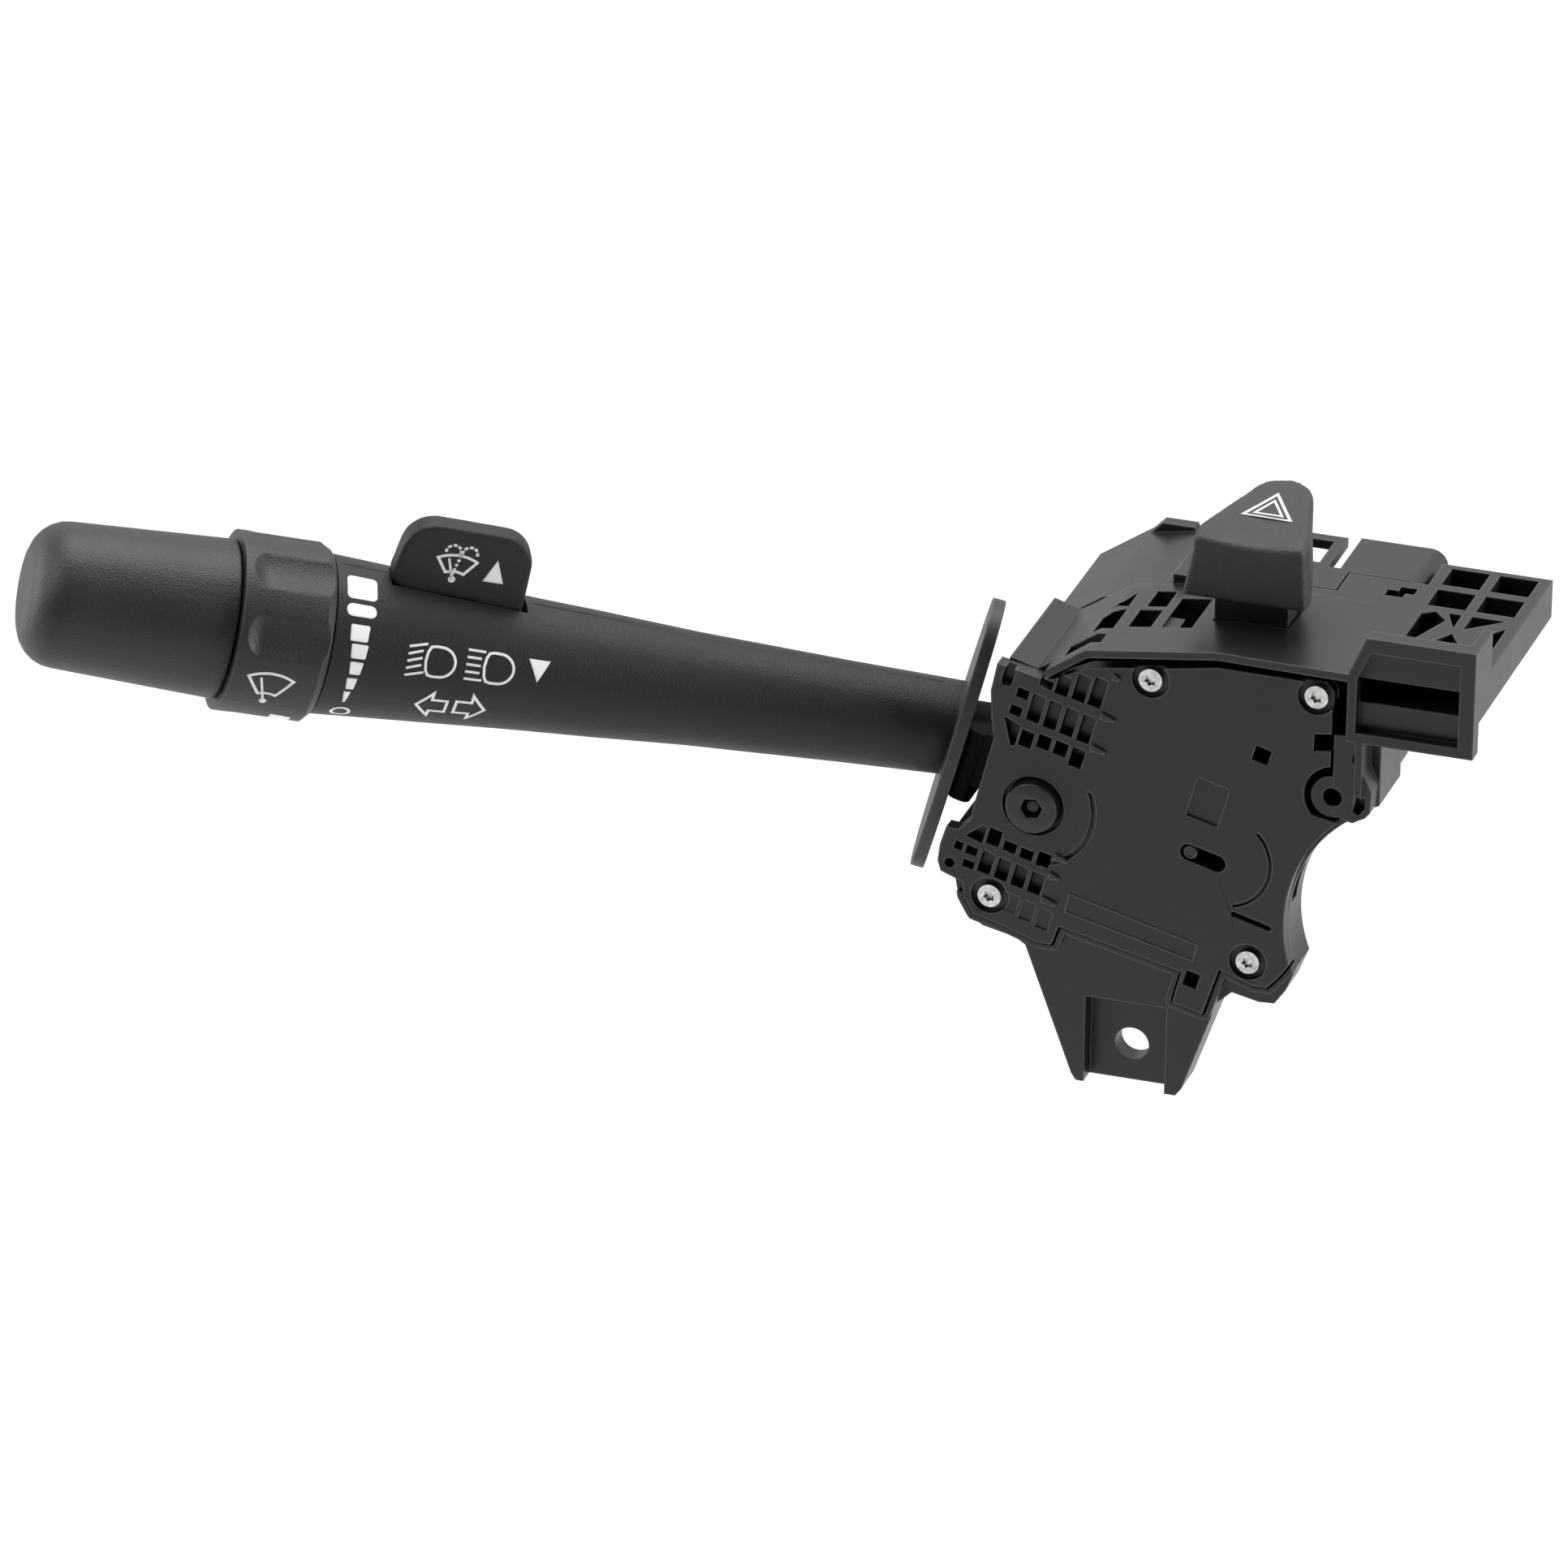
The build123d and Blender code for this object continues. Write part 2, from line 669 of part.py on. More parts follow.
with BuildPart() as cover:
    with BuildSketch(level(cover_front_y)):
        cover_outline()
    extrude(amount=-cover_thickness)
    # Bearing of the turn carrier, with the raised round it stands in
    round_bar(place(0, cover_front_y, 0), inwards, trunnion_recess_radius,
              trunnion_recess_depth, Mode.SUBTRACT)
    round_bar(place(0, cover_front_y, 0), inwards, trunnion_radius + running_fit,
              cover_thickness, Mode.SUBTRACT)
    with BuildSketch(tilted(cover_front_y)):
        Circle(plateau_radius + 0.9)
        Circle(plateau_radius, mode=Mode.SUBTRACT)
        with Locations((plateau_radius, -3.0)):
            Rectangle(plateau_radius * 1.3, plateau_radius * 1.75, mode=Mode.INTERSECT)
    extrude(amount=-plateau_step, mode=Mode.SUBTRACT)
    # Rib grids above and below the pivot
    columns = [grid_first_x + grid_pitch * step for step in range(4)]
    cover_cells([(x, 20.4, pocket_width, 6.0) for x in columns], pocket_depth)
    cover_cells([(columns[0] + 0.5, 26.4, pocket_width, 1.8),
                 (columns[1] + 0.2, 27.4, pocket_width, 4.2),
                 (columns[2] + 0.2, 28.4, pocket_width, 5.8),
                 (columns[3], 28.9, pocket_width, 6.4)], pocket_depth)
    cover_cells([(x, -15.9, pocket_width, 4.7) for x in columns], pocket_depth)
    cover_cells([(columns[0], 13.3, pocket_width, 3.6), (columns[1], 14.1, pocket_width, 3.0),
                 (columns[2], 14.2, pocket_width, 3.0), (columns[3], 13.6, pocket_width, 4.2),
                 (columns[0], -9.9, pocket_width, 3.6), (columns[1], -10.6, pocket_width, 2.2),
                 (columns[2], -10.7, pocket_width, 2.2), (columns[3], -10.3, pocket_width, 3.0),
                 (-8.8, 22.4, 2.4, 2.1), (-9.1, 18.3, 2.4, 2.1),
                 (-11.7, -14.6, 1.7, 1.8), (-8.9, -14.6, 2.4, 1.9), (-8.7, -17.7, 2.4, 1.7)],
                cover_thickness)
    with BuildSketch(tilted(cover_front_y)):
        with BuildLine():
            Polyline((-11.0, 16.2), (-7.2, 15.6), (-7.2, 11.0), (-8.0, 10.6), close=True)
        make_face()
        with BuildLine():
            Polyline((-11.0, -11.9), (-7.4, -12.2), (-7.4, -8.4), (-8.2, -8.2), close=True)
        make_face()
        with Locations((-12.6, 24.8)):
            SlotOverall(4.6, 2.2, rotation=90)
        with Locations((-12.4, -19.0)):
            Circle(1.05)
    extrude(amount=-pocket_depth, mode=Mode.SUBTRACT)
    cover_cells([(1.8, -22.3, 2.6, 4.0), (5.4, -22.5, 2.6, 4.2), (9.0, -22.8, 2.6, 4.4)], 0.4)
    # Slot for the cancel pawl's pin, square holes, slit and finger groove
    with BuildSketch(tilted(cover_front_y)):
        with Locations((cancel_slot_x + cancel_travel / 2, cancel_slot_z)):
            SlotCenterToCenter(cancel_travel + 0.5, 2 * (cancel_pin_radius + clearance))
        with Locations(turned_local(26.9, 70.8)):
            Rectangle(3.3, 3.3)
        with Locations(turned_local(14.0, 19.9)):
            Rectangle(2.9, 3.4)
        with Locations(turned_local(25.8, 34.6)):
            SlotOverall(8.6, 1.1)
    extrude(amount=-cover_thickness, mode=Mode.SUBTRACT)
    with BuildSketch(tilted(cover_front_y)):
        with Locations(turned_local(16.2, 58.9)):
            Rectangle(6.6, 8.8)
    extrude(amount=-0.6, mode=Mode.SUBTRACT)
    # Curved step right of the pawl's slot
    with BuildSketch(level(cover_front_y)):
        with Locations(step_centre):
            Circle(step_radius + 0.6)
            Circle(step_radius, mode=Mode.SUBTRACT)
        with Locations((step_centre[0] + step_radius, step_centre[1] - 2.0)):
            Rectangle(step_radius * 1.5, step_radius * 1.9, mode=Mode.INTERSECT)
    extrude(amount=-plateau_step, mode=Mode.SUBTRACT)
    # Seats of the cover screws
    for x, z in screw_places:
        round_bar((x, cover_front_y, z), inwards, screw_recess_radius, screw_recess_depth,
                  Mode.SUBTRACT)
        round_bar((x, cover_front_y, z), inwards, screw_shank_radius + clearance,
                  cover_thickness, Mode.SUBTRACT)
keep(cover.part, "front_cover")

# Cover screws, a group of separate solids
seat_y = cover_front_y + screw_recess_depth
with BuildPart() as screws:
    for x, z in screw_places:
        round_bar((x, seat_y - screw_head_height, z), inwards, screw_head_radius, screw_head_height)
        round_bar((x, seat_y, z), inwards, screw_shank_radius, screw_length)
        with BuildSketch(Plane(origin=(x, seat_y - screw_head_height, z), z_dir=inwards)):
            with BuildLine():
                lobes = [(radius, math.radians(15 + 30 * step)) for step, radius in
                         enumerate([screw_lobe_radius, screw_lobe_valley] * 6)]
                Polyline(*[(r * math.cos(a), r * math.sin(a)) for r, a in lobes], close=True)
            make_face()
        extrude(amount=0.9, mode=Mode.SUBTRACT)
keep(screws.part, "cover_screws")

# Rear housing that closes the back and carries the sockets
rear_gap_y = upper_back_y
socket_body = [(-28.0, 75.2), (-16.8, 82.9), (-8.4, 84.4), (-4.0, 85.4), (-4.0, 62.0), (-28.0, 62.0)]
socket_body_back_y = 59.0
side_socket_back_y = 50.0
side_socket_left_x = 28.6
side_socket_right_x = 46.6
side_socket_bottom_z = 79.0
back_plate = 2.4
loop_left_x = 14.0
loop_right_x = 26.1
loop_back_y = 49.2
inner_right_x = socket_left_x - board_gap

with BuildPart() as rear:
    outline_slab([(-27.4, 75.2), (-18.0, 81.4), (-9.6, 84.8), (17.3, 87.9), (inner_right_x, 87.9),
                  (inner_right_x, 62.0), (38.0, 54.0), turned_point(cavity_right_x, -10.0),
                  turned_point(left_wall_x, -12.0)],
                 rear_gap_y, rear_gap_y + back_plate)
    outline_slab(socket_body, rear_gap_y + back_plate, socket_body_back_y)
    level_block(-4.0, 28.0, rear_gap_y + back_plate, shelf_back_y + 1.6, 66.0, 87.9)
    level_block(20.4, 30.6, 24.6, shelf_back_y + 1.6, 87.9, top_right_z)
    level_block(28.0, inner_right_x, rear_gap_y + back_plate, shelf_back_y + 0.4,
                side_socket_bottom_z, 87.9)
    with BuildSketch(level(shelf_back_y + 0.4)) as side_face:
        with Locations(((side_socket_left_x + side_socket_right_x) / 2,
                        (side_socket_bottom_z + top_right_z) / 2)):
            Rectangle(side_socket_right_x - side_socket_left_x, top_right_z - side_socket_bottom_z)
        fillet(side_face.vertices().sort_by(Axis.X)[-2:].sort_by(Axis.Z)[-1:], 3.6)
    extrude(amount=-(side_socket_back_y - shelf_back_y - 0.4))
    # Raised end of the large socket
    outline_slab([(-16.8, 82.9), (-14.4, 85.4), (-7.7, 85.4), (-6.6, 83.0)],
                 socket_body_back_y - 3.0, socket_body_back_y)
    # Loop that holds the wire clip
    level_block(loop_left_x, loop_right_x, shelf_back_y + 1.6, loop_back_y,
                top_right_z - 2.0, top_right_z)
    level_block(loop_left_x + 2.2, loop_right_x - 2.2, shelf_back_y + 3.0, loop_back_y - 2.6,
                80.0, 95.0, Mode.SUBTRACT)
    level_block(loop_left_x, 28.0, shelf_back_y, shelf_back_y + 1.6, 86.0, top_right_z)
    # Mouths of the two sockets
    outline_slab([(-26.0, 73.4), (-16.3, 80.4), (-8.4, 82.2), (-6.0, 82.8), (-6.0, 64.0),
                  (-26.0, 64.0)], socket_body_back_y - 16.0, socket_body_back_y + 1, Mode.SUBTRACT)
    level_block(side_socket_left_x + 2, side_socket_right_x - 2, side_socket_back_y - 11,
                side_socket_back_y + 1, side_socket_bottom_z + 2, top_right_z - 2.4, Mode.SUBTRACT)
    for limits in rear_blade_limits():
        level_block(*limits, Mode.SUBTRACT)
keep(rear.part, "rear_housing")

# Contact board that closes the top cavity from behind
with BuildPart() as contacts:
    with BuildSketch(level(upper_back_y - 1.6)):
        housing_outline()
        offset(amount=-wall - board_gap, kind=Kind.INTERSECTION, mode=Mode.REPLACE)
        with BuildSketch(level(upper_back_y - 1.6), mode=Mode.INTERSECT):
            corners = [(cavity_left_x + board_gap, 14.8 + board_gap), (90.0, 14.8 + board_gap),
                       (90.0, 60.0), (cavity_left_x + board_gap, 60.0)]
            with BuildLine():
                Polyline(*[turned_point(*corner) for corner in corners], close=True)
            make_face()
    extrude(amount=-1.6)
    level_block(inner_right_x, right_side_x, upper_back_y - 3, upper_back_y + 1,
                wing_bottom_z - board_gap, top_right_z, Mode.SUBTRACT)
keep(contacts.part, "contact_board")

# Terminal blades, a group of separate solids
with BuildPart() as rear_blades:
    for limits in rear_blade_limits():
        level_block(*limits)
keep(rear_blades.part, "rear_terminals")

# Carrier that swings with the lever for the turn signals
trunnion_face_y = cover_front_y + trunnion_recess
with BuildPart() as carrier:
    tilted_block(carrier_left_x, carrier_right_x, carrier_front_y, carrier_back_y,
                 -carrier_half_z, carrier_half_z)
    right_edges = carrier.edges().filter_by(Axis.Y).sort_by(Axis(pivot, along))[-2:]
    chamfer(right_edges, 1.5)
    tilted_block(carrier_left_x - 1, fork_right_x, carrier_front_y + 2.0, carrier_back_y - 1.7,
                 -fork_half_z, fork_half_z, Mode.SUBTRACT)
    round_bar(place(0, trunnion_face_y, 0), inwards, trunnion_radius,
              carrier_front_y - trunnion_face_y)
    round_bar(place(0, carrier_back_y, 0), inwards, rear_trunnion_radius, rear_trunnion_length)
    round_bar(place(dimmer_pivot_x, lever_depth_y, -12), across, dimmer_pin_radius + running_fit, 24,
              Mode.SUBTRACT)
    round_bar(place(plunger_bore_x, lever_depth_y, 0), along, plunger_radius + running_fit, 20,
              Mode.SUBTRACT)
    round_bar(place(dimmer_plunger_x, carrier_back_y - 5, 0), inwards,
              dimmer_plunger_radius + running_fit, 8, Mode.SUBTRACT)
    with BuildSketch(tilted(trunnion_face_y)):
        RegularPolygon(radius=2.1, side_count=6, major_radius=False)
        Circle(1.2, mode=Mode.SUBTRACT)
    extrude(amount=-1.6, mode=Mode.SUBTRACT)
keep(carrier.part, "turn_carrier")

with BuildPart() as dimmer_pin:
    round_bar(place(dimmer_pivot_x, lever_depth_y, -carrier_half_z), across, dimmer_pin_radius,
              2 * carrier_half_z)
keep(dimmer_pin.part, "dimmer_pin")

# Wipers on the back of the carrier, and the contact sectors under them
with BuildPart() as wipers:
    for side in (-1, 1):
        tilted_block(7.0, 11.4, carrier_back_y, carrier_back_y + 0.3, side * 3.4 - 1, side * 3.4 + 1)
keep(wipers.part, "turn_wipers")

with BuildPart() as sectors:
    with BuildSketch(tilted(floor_y - 0.2)):
        sector_outlines()
    extrude(amount=-0.6)
keep(sectors.part, "turn_contact_plate")

# Detent plunger with its spring, and the cam it runs over
with BuildPart() as plunger:
    tail_x = plunger_tip_x - plunger_length
    round_bar(place(tail_x, lever_depth_y, 0), along, plunger_radius, plunger_length - plunger_radius)
    with Locations(place(plunger_tip_x - plunger_radius, lever_depth_y, 0)):
        Sphere(plunger_radius)
    round_bar(place(tail_x, lever_depth_y, 0), along, 1.5, 4.4, Mode.SUBTRACT)
keep(plunger.part, "detent_plunger")

detent_coil = coil_spring(place(plunger_bore_x + 0.3, lever_depth_y, 0), along, 1.05, 0.2, 3.7, spring_turns)
keep(detent_coil.part, "detent_spring")

with BuildPart() as cam:
    tilted_block(14.0, cavity_right_x - clearance / 3, -1.0, 10.0, -8.0, 8.0)
    round_bar(place(0, -3, 0), inwards, cam_radius, 20, Mode.SUBTRACT)
    for angle in (-turn_range, 0, turn_range):
        reach = math.radians(angle)
        centre = place(cam_notch_place * math.cos(reach), -3, cam_notch_place * math.sin(reach))
        round_bar(centre, inwards, cam_notch_radius, 20, Mode.SUBTRACT)
    round_bar(place(21.5, -7.4, cancel_slot_z), inwards, 1.1, 6.6)
keep(cam.part, "detent_cam")

# Plunger worked by the lever's root when the lever is pulled
with BuildPart() as dimmer_plunger:
    round_bar(place(dimmer_plunger_x, 13.1, 0), inwards, dimmer_plunger_radius, 2.8)
    fillet(dimmer_plunger.edges().sort_by(Axis.Y)[0], 0.4)
keep(dimmer_plunger.part, "dimmer_plunger")

# Lever axis, with up and driver-side directions across it
swing = math.radians(lever_swing_to_driver)
droop = math.radians(lever_droop)
lever_line = (along * -math.cos(swing) - inwards * math.sin(swing)) * math.cos(droop)
lever_line = lever_line - across * math.sin(droop)
lever_up = (across - lever_line * across.dot(lever_line)).normalized()
lever_front = lever_up.cross(lever_line)
lever_start = place(lever_flange_x, lever_depth_y, lever_flange_z)


def on_lever(s, up=0.0, front=0.0):
    """A point along the lever's axis, moved up and towards the driver."""
    return lever_start + lever_line * s + lever_up * up + lever_front * front


def lever_turned(points, mode=Mode.ADD):
    """A body turned about the lever's axis from places along it and radii."""
    with BuildSketch(Plane(origin=lever_start, x_dir=lever_line, z_dir=lever_front * -1)) as half:
        with BuildLine():
            Polyline(*points, close=True)
        make_face()
    revolve(half.sketch, axis=Axis(lever_start, lever_line), mode=mode)


def lever_slab(points, front, thickness, mode=Mode.ADD):
    """A slab lying along the lever, with its outline given along and up."""
    origin = lever_start + lever_front * front
    with BuildSketch(Plane(origin=origin, x_dir=lever_line, z_dir=lever_front * -1)) as face:
        with BuildLine():
            Polyline(*points, close=True)
        make_face()
    extrude(face.sketch, amount=thickness, mode=mode)


def lever_radius(s):
    """Outer radius of the lever at a place along it."""
    places = lever_profile + [(lever_length, lever_end_radius)]
    for (s_low, r_low), (s_high, r_high) in zip(places, places[1:]):
        if s <= s_high:
            return r_low + (r_high - r_low) * (s - s_low) / (s_high - s_low)
    return lever_end_radius


tilt = math.radians(flange_tilt)
flange_out = along * -math.cos(tilt) - inwards * math.sin(tilt)
flange_in_depth = inwards * math.cos(tilt) - along * math.sin(tilt)
flange_plane = Plane(origin=place(flange_x, lever_depth_y, flange_centre_z),
                     x_dir=flange_in_depth, z_dir=flange_out)

with BuildPart() as lever:
    outer = [(s, r) for s, r in lever_profile] + [(lever_length, lever_end_radius)]
    lever_turned([(outer[0][0], 0)] + outer + [(lever_length, 0)])
    with BuildSketch(flange_plane.offset(-20)) as keep_away:
        Rectangle(120, 120)
    extrude(keep_away.sketch, amount=20, mode=Mode.SUBTRACT)
    with BuildSketch(flange_plane) as flange_face:
        side_shift = flange_side_radius - flange_half_depth
        with Locations((-side_shift, 0)):
            Circle(flange_side_radius)
        with Locations((side_shift, 0)):
            Circle(flange_side_radius, mode=Mode.INTERSECT)
        fillet(flange_face.vertices(), flange_end_radius)
    extrude(flange_face.sketch, amount=flange_thickness)
    # Bore for the root, the hollow middle and the seat of the spindle
    lever_turned([(-12.0, 0), (-12.0, lever_bore), (lever_bore_depth, lever_bore),
                  (lever_bore_depth, 0)], Mode.SUBTRACT)
    hollow = [(lever_bore_depth + 4.0, 0)]
    for s in [lever_bore_depth + 4.0] + [s for s, _ in lever_profile[2:]] + [bulkhead_s]:
        hollow.append((s, lever_radius(s) - lever_wall))
    lever_turned(hollow + [(bulkhead_s, 0)], Mode.SUBTRACT)
    lever_turned([(lever_bore_depth - 1, 0), (lever_bore_depth - 1, 4.0),
                  (lever_length + 1, 4.0), (lever_length + 1, 0)], Mode.SUBTRACT)
    lever_turned([(lever_length - spindle_into_lever, 0),
                  (lever_length - spindle_into_lever, spindle_radius),
                  (lever_length + 1, spindle_radius), (lever_length + 1, 0)], Mode.SUBTRACT)
    # Slot and pin hole of the washer paddle
    lever_slab([(paddle_near_s - clearance * 2, paddle_foot_height - 1.2),
                (paddle_near_s + paddle_slot_length, paddle_foot_height - 1.2),
                (paddle_near_s + paddle_slot_length, 20.0), (paddle_near_s - clearance * 2, 20.0)],
               paddle_front + clearance, paddle_thickness + paddle_slot_swing + 2 * clearance,
               Mode.SUBTRACT)
    round_bar(on_lever(paddle_near_s - paddle_pin_over, paddle_pivot_height), lever_line,
              paddle_pin_radius, paddle_length + 2 * paddle_pin_over, Mode.SUBTRACT)
keep(lever.part, "lever")

with BuildPart() as root:
    tilted_block(-14.6, 4.0, -3.5, 12.5, -6.0, 6.0)
    with BuildSketch(Plane(origin=place(0, 0, 5.5), x_dir=along, z_dir=across)) as barrel:
        with Locations((-16.4, 3.0)):
            RectangleRounded(4.6, 13.0, 1.6)
    extrude(barrel.sketch, amount=-root_barrel_height)
    round_bar(on_lever(-4.5), lever_line, lever_bore, lever_bore_depth + 4.5)
    round_bar(place(dimmer_pivot_x, lever_depth_y, -8), across, dimmer_pin_radius + running_fit, 16,
              Mode.SUBTRACT)
keep(root.part, "lever_root")

with BuildPart() as spindle:
    lever_turned([(lever_length - spindle_into_lever, spindle_bore),
                  (lever_length - spindle_into_lever, spindle_radius),
                  (lever_length + ring_length + 2 * ring_gap + spindle_into_knob, spindle_radius),
                  (lever_length + ring_length + 2 * ring_gap + spindle_into_knob, spindle_bore)])
keep(spindle.part, "wiper_spindle")

with BuildPart() as wiper_board:
    board_bore = spindle_radius + running_fit
    lever_turned([(lever_length, board_bore), (lever_length, board_radius),
                  (lever_length + board_thickness, board_radius),
                  (lever_length + board_thickness, board_bore)])
keep(wiper_board.part, "wiper_board")

# Wiper ring with finger flutes, and the rotor it carries
ring_low = lever_length + ring_gap
ring_high = ring_low + ring_length
hub_low = ring_high - ring_hub_width
with BuildPart() as ring:
    lever_turned([(ring_low, ring_radius - ring_rim), (ring_low, ring_radius - ring_edge),
                  (ring_low + ring_edge, ring_radius), (ring_high, ring_radius),
                  (ring_high, spindle_radius + running_fit), (hub_low, spindle_radius + running_fit),
                  (hub_low, ring_radius - ring_rim)])
    for place_deg in ring_flute_places:
        angle = math.radians(place_deg)
        reach = ring_radius + ring_flute_radius - ring_flute_depth
        centre = on_lever(ring_low - 1, reach * math.cos(angle), reach * math.sin(angle))
        with BuildPart(mode=Mode.PRIVATE) as cutter:
            round_bar(centre, lever_line, ring_flute_radius, ring_flute_length + 2.7)
            far_rim = cutter.edges().filter_by(GeomType.CIRCLE).sort_by(Axis(lever_start, lever_line))
            fillet(far_rim[-1], ring_flute_end)
        add(cutter.part, mode=Mode.SUBTRACT)
keep(ring.part, "wiper_ring")

with BuildPart() as rotor:
    lever_turned([(hub_low - rotor_thickness, spindle_radius + running_fit),
                  (hub_low - rotor_thickness, rotor_radius), (hub_low, rotor_radius),
                  (hub_low, spindle_radius + running_fit)])
    for side in (-1, 1):
        round_bar(on_lever(lever_length + board_thickness + 0.4, side * 10.6), lever_line, 1.1,
                  hub_low - rotor_thickness - lever_length - board_thickness - 0.4)
keep(rotor.part, "wiper_rotor")

knob_low = ring_high + ring_gap
with BuildPart() as knob:
    nose_s = knob_low + knob_length - knob_nose
    nose = []
    for step in range(knob_nose_flats + 1):
        angle = math.radians(90 / knob_nose_flats * step)
        nose.append((nose_s + knob_nose * math.sin(angle),
                     knob_tip_radius - knob_nose + knob_nose * math.cos(angle)))
    lever_turned([(knob_low, 0), (knob_low, knob_radius)] + nose + [(knob_low + knob_length, 0)])
    socket_bore = spindle_radius + running_fit
    lever_turned([(knob_low - 1, 0), (knob_low - 1, socket_bore),
                  (knob_low + spindle_into_knob, socket_bore),
                  (knob_low + spindle_into_knob, 0)], Mode.SUBTRACT)
keep(knob.part, "end_knob")

# Washer paddle on its pin, with its spring round the pin
with BuildPart() as paddle:
    lever_slab(paddle_outline, paddle_front, paddle_thickness)
    across_edges = paddle.edges().filter_by(Axis(lever_start, lever_front))
    corners = across_edges.sort_by(Axis(lever_start, lever_up))
    fillet(corners[-3], paddle_heel)
    fillet(corners[-2:], paddle_corner)
    round_bar(on_lever(paddle_near_s - 2, paddle_pivot_height), lever_line,
              paddle_pin_radius + running_fit, 40, Mode.SUBTRACT)
    window_high = paddle_window_low + paddle_window_length
    window_top = paddle_pivot_height + 3.2
    lever_slab([(paddle_window_low, paddle_foot_height - 1), (window_high, paddle_foot_height - 1),
                (window_high, window_top), (paddle_window_low, window_top)],
               paddle_front + 1, paddle_thickness + 2, Mode.SUBTRACT)
keep(paddle.part, "washer_paddle")

with BuildPart() as paddle_pin:
    round_bar(on_lever(paddle_near_s - paddle_pin_over, paddle_pivot_height), lever_line,
              paddle_pin_radius, paddle_length + 2 * paddle_pin_over)
keep(paddle_pin.part, "paddle_pin")

paddle_coil = coil_spring(on_lever(paddle_window_low + 0.8, paddle_pivot_height), lever_line,
                          paddle_spring_radius, 0.25, 5.0, spring_turns)
keep(paddle_coil.part, "paddle_spring")

# Hazard button, the slider under it and its spring
hazard_bottom_z = top_right_z + hazard_lift
with BuildPart() as button:
    with BuildSketch(flat(hazard_bottom_z)):
        with BuildLine():
            half = hazard_width / 2
            nose_y = hazard_front_y + hazard_length - hazard_nose_radius
            nose_x = hazard_x + hazard_nose_shift
            Polyline((nose_x - hazard_nose_radius * 0.96, nose_y + 1.9),
                     (hazard_x - half, hazard_front_y + 4.4), (hazard_x - half, hazard_front_y),
                     (hazard_x + half, hazard_front_y), (hazard_x + half, hazard_front_y + 4.4),
                     (nose_x + hazard_nose_radius * 0.96, nose_y + 1.9))
            ThreePointArc((nose_x + hazard_nose_radius * 0.96, nose_y + 1.9),
                          (nose_x, nose_y + hazard_nose_radius),
                          (nose_x - hazard_nose_radius * 0.96, nose_y + 1.9))
        make_face()
    extrude(amount=hazard_front_height + hazard_rise)
    with BuildSketch(Plane(origin=(hazard_x, 0, 0), x_dir=(0, 1, 0), z_dir=(1, 0, 0))) as above:
        crease_z = hazard_bottom_z + hazard_front_height
        with BuildLine():
            Polyline((hazard_front_y - 5, crease_z - 0.9), (hazard_front_y, crease_z),
                     (hazard_front_y + hazard_length, crease_z + hazard_rise),
                     (hazard_front_y + hazard_length, crease_z + 20),
                     (hazard_front_y - 5, crease_z + 20), close=True)
        make_face()
    extrude(above.sketch, amount=30, both=True, mode=Mode.SUBTRACT)
    top_edges = button.faces().sort_by(Axis.Z)[-1].edges()
    fillet(top_edges, hazard_edge)
    # Shallow dish for the finger along the slope
    slope = Vector(0, hazard_length, hazard_rise).normalized()
    above_slope = Vector(0, -hazard_rise, hazard_length).normalized()
    dish_radius = (half - hazard_edge - clearance) ** 2 / (2 * hazard_dish)
    dish_start = Vector(hazard_x, hazard_front_y, crease_z) + above_slope * (dish_radius - hazard_dish)
    round_bar(dish_start - slope * 10, slope, dish_radius, hazard_length + 20, Mode.SUBTRACT)
    level_block(hazard_x - half + 2.6, hazard_x + half - 2.6, hazard_front_y + 2.2,
                hazard_front_y + 14.2, hazard_bottom_z - 1, hazard_bottom_z + 9.0, Mode.SUBTRACT)
keep(button.part, "hazard_button")

with BuildPart() as slider:
    level_block(hazard_x - stem_width / 2, hazard_x + stem_width / 2, stem_front_y,
                stem_front_y + stem_length, stem_bottom_z, hazard_bottom_z + 9.0)
    round_bar((hazard_x, stem_front_y + stem_length / 2, stem_bottom_z), (0, 0, 1),
              hazard_spring_radius + 0.9, 12.0, Mode.SUBTRACT)
    for side in (-1, 1):
        level_block(hazard_x + side * (stem_width / 2) - 0.8, hazard_x + side * (stem_width / 2) + 0.8,
                    stem_front_y - 1, stem_front_y + stem_length + 1, 74.0, 84.0, Mode.SUBTRACT)
keep(slider.part, "hazard_slider")

hazard_coil = coil_spring((hazard_x, stem_front_y + stem_length / 2, hazard_seat_z + hazard_wire),
                          (0, 0, 1), hazard_spring_radius, hazard_wire,
                          hazard_spring_top_z - hazard_seat_z, spring_turns + 1)
keep(hazard_coil.part, "hazard_spring")

# Cancel pawl that the steering column knocks back, and its spring
pawl_front_y = cover_back_y + 1.5
with BuildPart() as pawl:
    tilted_block(cancel_tail_x, cancel_nose_x, pawl_front_y, pawl_front_y + cancel_thickness,
                 cancel_slot_z - cancel_width / 2, cancel_slot_z + cancel_width / 2)
    nose_edges = pawl.edges().filter_by(Axis.Y).sort_by(Axis(pivot, along))[-2:]
    chamfer(nose_edges, 2.6)
    round_bar(place(cancel_slot_x, cover_front_y + clearance, cancel_slot_z), inwards,
              cancel_pin_radius, pawl_front_y - cover_front_y)
    tilted_block(cancel_tail_x + 9, cancel_tail_x + 19, pawl_front_y - 1, pawl_front_y + 4,
                 cancel_slot_z - 1.6, cancel_slot_z + 1.6, Mode.SUBTRACT)
keep(pawl.part, "cancel_pawl")

cancel_coil = coil_spring(place(22.9, pawl_front_y + 1.5, cancel_slot_z), along, 1.5, 0.25, 4.6, spring_turns)
keep(cancel_coil.part, "cancel_spring")
